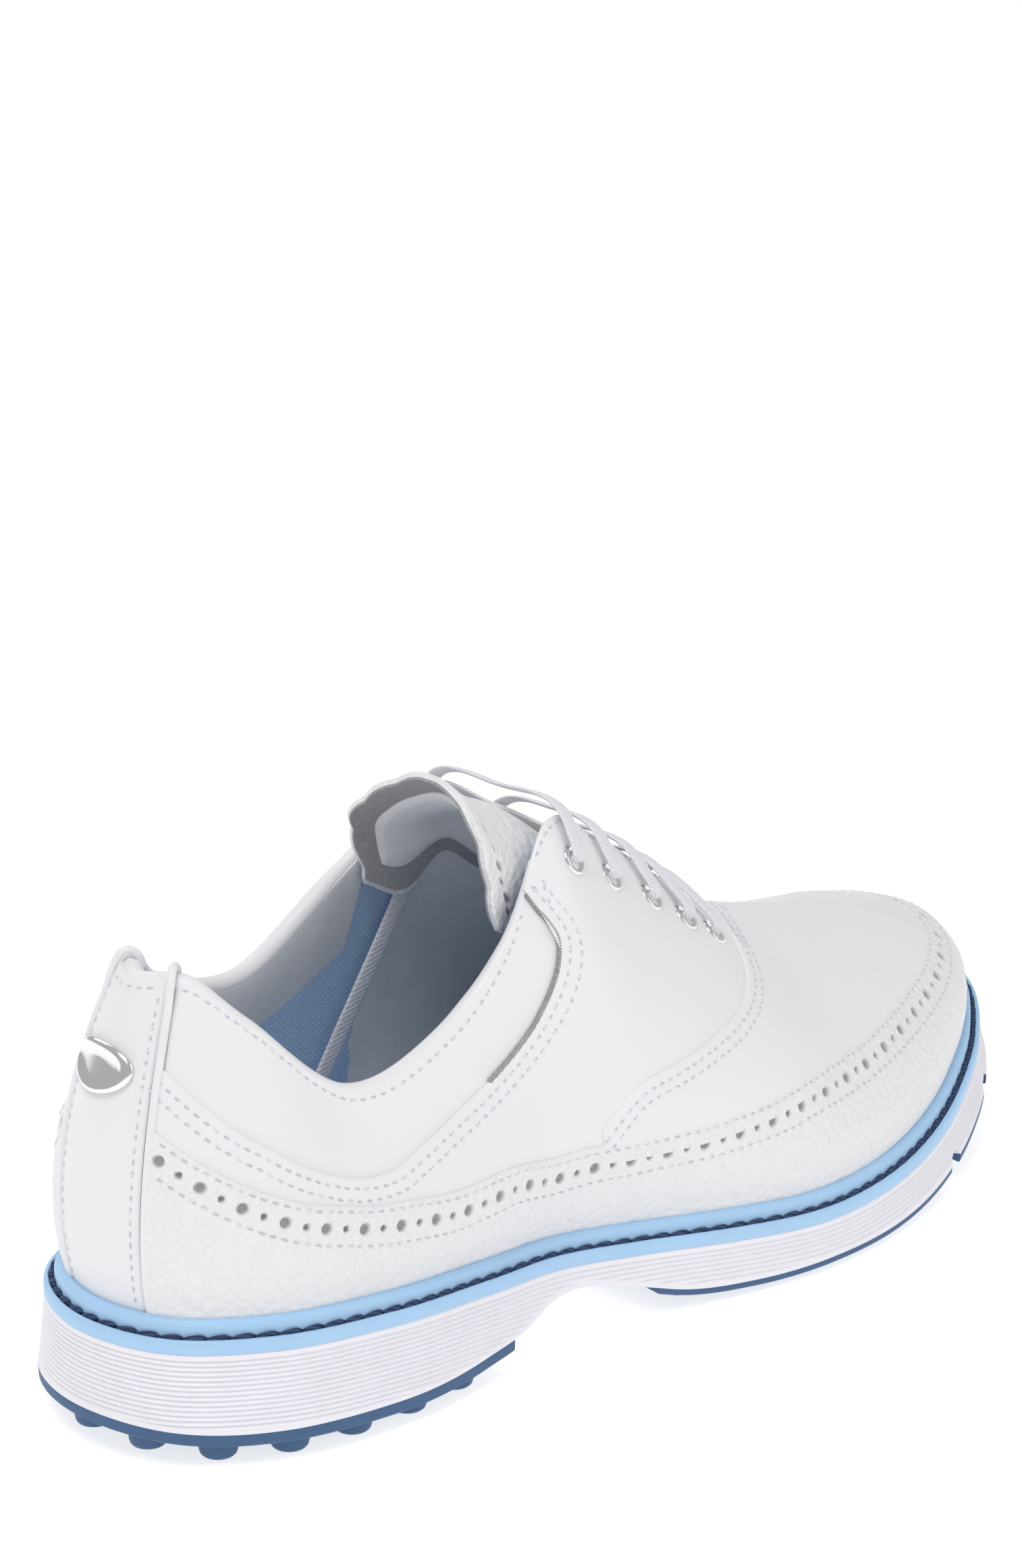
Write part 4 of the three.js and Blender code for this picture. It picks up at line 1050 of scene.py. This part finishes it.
LACE_ENDS = {
    "medial": ((127, 21.6, 101), (122, 22, 92), (115, 22.2, 81), (107, 22.4, 69), (99, 22.6, 57),
               (91, 22, 46), (83, 19, 37), (74, 13, 32.2), (64, 6, 32.2), (56, -3, 32.6),
               (53, -12, 32.8), (58, -19, 32.6), (68, -21, 32)),
    "lateral": ((145, -17, 91.5), (143, -19, 84), (139, -21, 72), (134, -20, 59), (128, -18, 45),
                (121, -16, 33), (111, -13, 27.2), (100, -12, 28.2), (89, -13, 29.6), (79, -13, 30.6)),
}


def build_lace_ends():
    for name, route in LACE_ENDS.items():
        path = catmull(route, 150)
        along = unit(np.gradient(path, axis=0))
        wide = unit(np.cross(along, np.tile([0.25, 1.0, 0.35], (len(path), 1))))
        points, faces, uv, length = ribbon(path, wide, 4.8, 1.1)
        node = f"lace_end_{name}"
        piece = make(f"{node}_flat", points, faces, MAT["lace"], "lace", [node], uv=uv)


BAR_RISE = (2.6, 2.4, 2.2, 2.0, 1.8)


def build_lace_bars():
    """Five bars across the tongue, from one eyelet to its opposite."""
    points, faces, uvs = [], [], []
    for row in range(5):
        ends = []
        for side in (-1, 1):
            u, t, at, out = EYELETS[side, row]
            rest = [at - out * 4.0, at - out * 0.4, at + out * 1.1]
            for part in (0.45, 0.85):
                tt = np.array([t + (1 - t) * part])
                rest.append((upper(np.array([u]), tt) + normal(np.array([u]), tt) * 2.4)[0])
            ends.append(rest)
        a, b = ends[0][-1], ends[1][-1]
        crown = (a + b) / 2 + np.array([0.42, 0, 0.91]) * BAR_RISE[row]
        path = catmull(ends[0] + [crown] + ends[1][::-1], 110)
        k = np.linspace(-1, 1, 110)
        width = 4.2 + 1.4 * np.clip(1.25 - np.abs(k) * 1.5, 0, 1)
        p, f, uv, _ = ribbon(path, np.tile([0.91, 0.0, -0.42], (110, 1)), width, 1.1)
        base = sum(len(x) for x in points)
        points.append(p)
        uvs.append(uv)
        faces += [tuple(i + base for i in face) for face in f]
    make("lace_bars", np.vstack(points), faces, MAT["lace"], "lace", ["lace"], uv=np.vstack(uvs))


# ---------- eyelets and medallion ----------
EYELET_PROFILE = ((2.15, -3.0), (2.15, -0.2), (2.35, 0.35), (2.8, 0.75), (3.3, 0.8), (3.75, 0.55),
                  (3.95, 0.1), (3.8, -0.15), (2.7, -0.15), (2.6, -3.0))


def build_eyelets():
    for side, name in SIDES:
        for row in range(5):
            at, out = EYELETS[side, row][2:]
            right = unit(np.cross(out, [0, 0, 1.0]))
            ahead = np.cross(right, out)
            a = np.linspace(0, 2 * math.pi, 41)[:-1]
            ring = right[None] * np.cos(a)[:, None] + ahead[None] * np.sin(a)[:, None]
            grid = np.stack([at + ring * r + out * h for r, h in EYELET_PROFILE], 1)
            n, m = grid.shape[:2]
            faces = ring_faces(n, m, closed_section=True)
            make(f"eyelet_{name}_{row + 1}_ring", grid.reshape(-1, 3), faces, MAT["metal"], "metal",
                 [f"eyelet_{name}_{row + 1}"], sharp=70)


def build_medallion():
    """A plain polished oval with a bevelled rim and a shallow dished centre."""
    profile = ((0.0, 1.1), (0.35, 1.1), (0.62, 1.15), (0.7, 1.6), (0.76, 1.95), (0.86, 2.0), (0.96, 1.6),
               (1.0, 0.9), (1.0, -0.2))
    a = np.linspace(0, 2 * math.pi, 97)[:-1]
    points = []
    for r, h in profile:
        du, dt = 0.0155 * r * np.cos(a), 0.075 * r * np.sin(a)
        points.append(inside(du, 0.7 + dt, np.full(96, -0.6 - h * 0.75)))
    grid = np.stack(points[1:], 1)
    n, m = grid.shape[:2]
    faces = [(i * m + j, i * m + j + 1, ((i + 1) % n) * m + j + 1, ((i + 1) % n) * m + j)
             for i in range(n) for j in range(m - 1)]
    faces += [tuple(i * m for i in range(n)), tuple((n - 1 - i) * m + m - 1 for i in range(n))]
    make("heel_medallion_oval", grid.reshape(-1, 3), faces, MAT["metal"], "metal", ["heel_medallion"])


# ---------- tongue ----------
TONGUE_STATIONS = ((203, 0.5), (190, 1), (176, 2), (160, 3), (145, 4.5), (132, 5.5))
TONGUE_FREE = (((119.5, -20, 94), (116, -19.5, 114), (118, -2, 123.5), (115, 17, 113), (119.5, 19.5, 94)),
               ((111, -21.5, 97), (104.5, -21.5, 124), (104.5, -4, 132.6), (101.5, 18, 118.5),
                (108, 20.5, 99)))


def tongue_sections():
    rows = []
    for x, crown in TONGUE_STATIONS:
        found = {}
        for side in (-1, 1):
            for key, t, depth in (("edge", 0.8, 7.0), ("near", 0.95, 6.8)):
                u = np.array([float(s_at_x(side, x, t))])
                found[side, key] = inside(u, np.array([t]), np.array([depth]))[0]
        middle = (found[-1, "near"] + found[1, "near"]) / 2 + UP * crown
        rows.append([found[-1, "edge"], found[-1, "near"], middle, found[1, "near"], found[1, "edge"]])
    return np.array(rows + [list(map(np.array, s)) for s in TONGUE_FREE], float)


TONGUE = tongue_sections()


def tongue_grid(v, w):
    across = np.stack([smooth([-1, -0.55, 0, 0.55, 1], section, w) for section in TONGUE])
    flat = across.reshape(len(TONGUE), -1)
    return smooth(np.linspace(0, 1, len(TONGUE)), flat, v).reshape(len(v), len(w), 3)


def build_tongue():
    v = np.concatenate([np.linspace(0, 0.8, 110)[:-1], np.linspace(0.8, 1, 90)])
    w = np.linspace(-1, 1, 181)
    grid = tongue_grid(v, w)
    width = run_of(grid[-1])
    along_v = unit(np.gradient(grid, axis=0))
    # The free edge is pinked into shallow scallops.
    back = 1.2 * (1 - np.abs(np.sin(math.pi * width / 11.5)))
    fade = np.clip((v - 0.9) / 0.1, 0, 1)
    grid = grid - along_v * (fade[:, None] * back[None])[..., None]
    out = unit(np.cross(np.gradient(grid, axis=1), np.gradient(grid, axis=0)))
    if out[60, 90, 2] < 0:
        out = -out
    length = np.cumsum(np.linalg.norm(np.diff(grid, axis=0), axis=2), axis=0)
    length = np.vstack([np.zeros(len(w)), length])
    from_end = length[-1:] - length
    pressed = np.zeros(grid.shape[:2])
    for k in range(int(width[-1] / 4.8)):
        centre = (k + 0.5) * 4.8
        radius = 1.0 if k % 2 else 1.5
        flat = np.hypot(from_end - 8.0, width[None] - centre)
        pressed = np.maximum(pressed, 1 - np.clip((flat - radius * 0.7) / (radius * 0.5), 0, 1))
    edge = np.minimum(np.minimum(width[None], width[-1] - width[None]), np.minimum(from_end, 6))
    depth = edge_drop(edge) * 0.7 + 0.8 * pressed
    outer = grid - out * depth[..., None]
    inner = grid - out * 1.5
    # The pressed mask goes to the material too, which paints the tongue's holes dark: painted shade in the
    # holes.
    hole_shade_mask = np.concatenate([pressed.ravel(), np.zeros(pressed.size)])
    joined = [
        make("tongue_grain", *thick(outer, inner), MAT["grain_leather"], "grain_leather",
             ["tongue_body", "tongue_flap"], body=None, attribute=hole_shade_mask)]
    flesh = grid[v > 0.55][:, 3:-3]
    normal_in = out[v > 0.55][:, 3:-3]
    back = thick(flesh - normal_in * 1.55, flesh - normal_in * 2.1)
    joined.append(make("tongue_suede_back", *back, MAT["suede"], "leather", body=None))
    keep_v = np.where((from_end[:, 90] > 9.0))[0]
    keep_w = np.where((width > 8.0) & (width < width[-1] - 8.0))[0]
    pad = grid[np.ix_(keep_v, keep_w)]
    pad_out = out[np.ix_(keep_v, keep_w)]
    to_side = np.minimum(np.arange(len(keep_w)), np.arange(len(keep_w))[::-1])
    swell = np.minimum(1, np.minimum(np.arange(len(keep_v))[::-1][:, None] / 12, to_side[None] / 8))
    swell = np.sin(swell * math.pi / 2)
    joined.append(make("tongue_lining_pad", *thick(pad - pad_out * 2.0,
                                                   pad - pad_out * (2.3 + 0.9 * swell[..., None])),
                       MAT["lining"], "lining", ["tongue_body_lining", "tongue_flap_lining"], body=None))
    for piece in joined:
        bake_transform(piece)


# ---------- the whole shoe ----------
def finish_cad_nodes():
    by_slot = {"shank": "steel", "insole_board": "board", "footbed": "textile", "collar_foam": "foam",
               "toe_puff": "board", "heel_counter": "board", "aglet_medial": "plastic",
               "aglet_lateral": "plastic"}
    for name, key in by_slot.items():
        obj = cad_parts[name]
        for place in obj.material_slots:
            place.material = MAT[key]


def build_stage():
    bpy.ops.mesh.primitive_plane_add(size=90, location=(0, 0, -0.0004))
    floor = bpy.context.object
    floor.name = "floor"
    paper = plain("floor_white", (0.55, 0.55, 0.55), 0.9, 300, 0.00001)
    shader = paper.node_tree.nodes["Principled BSDF"]
    shader.inputs["Emission Color"].default_value = (1, 1, 1, 1)
    shader.inputs["Emission Strength"].default_value = 0.72
    floor.data.materials.append(paper)
    world = bpy.data.worlds.new("studio")
    bpy.context.scene.world = world
    world.use_nodes = True
    world.node_tree.nodes["Background"].inputs[0].default_value = (1, 1, 1, 1)
    world.node_tree.nodes["Background"].inputs[1].default_value = 0.52
    lights = (("key", (-0.75, -0.25, 1.6), 0.8, 11.5), ("fill", (0.6, -1.4, 0.9), 1.2, 4.0),
              ("rim", (0.3, 1.3, 1.2), 0.9, 4))
    for name, place, size, power in lights:
        data = bpy.data.lights.new(name, "AREA")
        data.energy, data.size = power, size
        lamp = bpy.data.objects.new(name, data)
        lamp.location = place
        lamp.rotation_euler = (Vector((0, 0, 0.05)) - Vector(place)).to_track_quat("-Z", "Y").to_euler()
        bpy.context.scene.collection.objects.link(lamp)


def build_camera():
    azimuth, elevation, distance = math.radians(-45.11), math.radians(22.21), 0.993
    back = Vector((math.sin(azimuth) * math.cos(elevation), -math.cos(azimuth) * math.cos(elevation),
                   math.sin(elevation)))
    data = bpy.data.cameras.new("camera")
    camera = bpy.data.objects.new("camera", data)
    camera.location = Vector((-0.003, 0.00084, 0.05)) + back * distance
    camera.rotation_euler = (-back).to_track_quat("-Z", "Y").to_euler()
    data.sensor_fit, data.sensor_width, data.lens = "VERTICAL", 36, 94.61
    data.sensor_height = 36
    data.shift_x, data.shift_y = -0.0256, 0.1703
    bpy.context.scene.collection.objects.link(camera)
    bpy.context.scene.camera = camera


build_camera()
build_lace_ends()
build_lace_bars()
STITCHES = Stitches()
build_panels(STITCHES)
build_vamp()
build_mudguard(STITCHES)
build_heel_strip(STITCHES)
build_topline()
build_linings()
build_raw_edges()
STITCHES.piece("seam_stitches", MAT["stitch"], "thread")
build_sole()
build_eyelets()
build_medallion()
build_tongue()
finish_cad_nodes()
build_stage()
bpy.context.scene.view_settings.view_transform = "Standard"
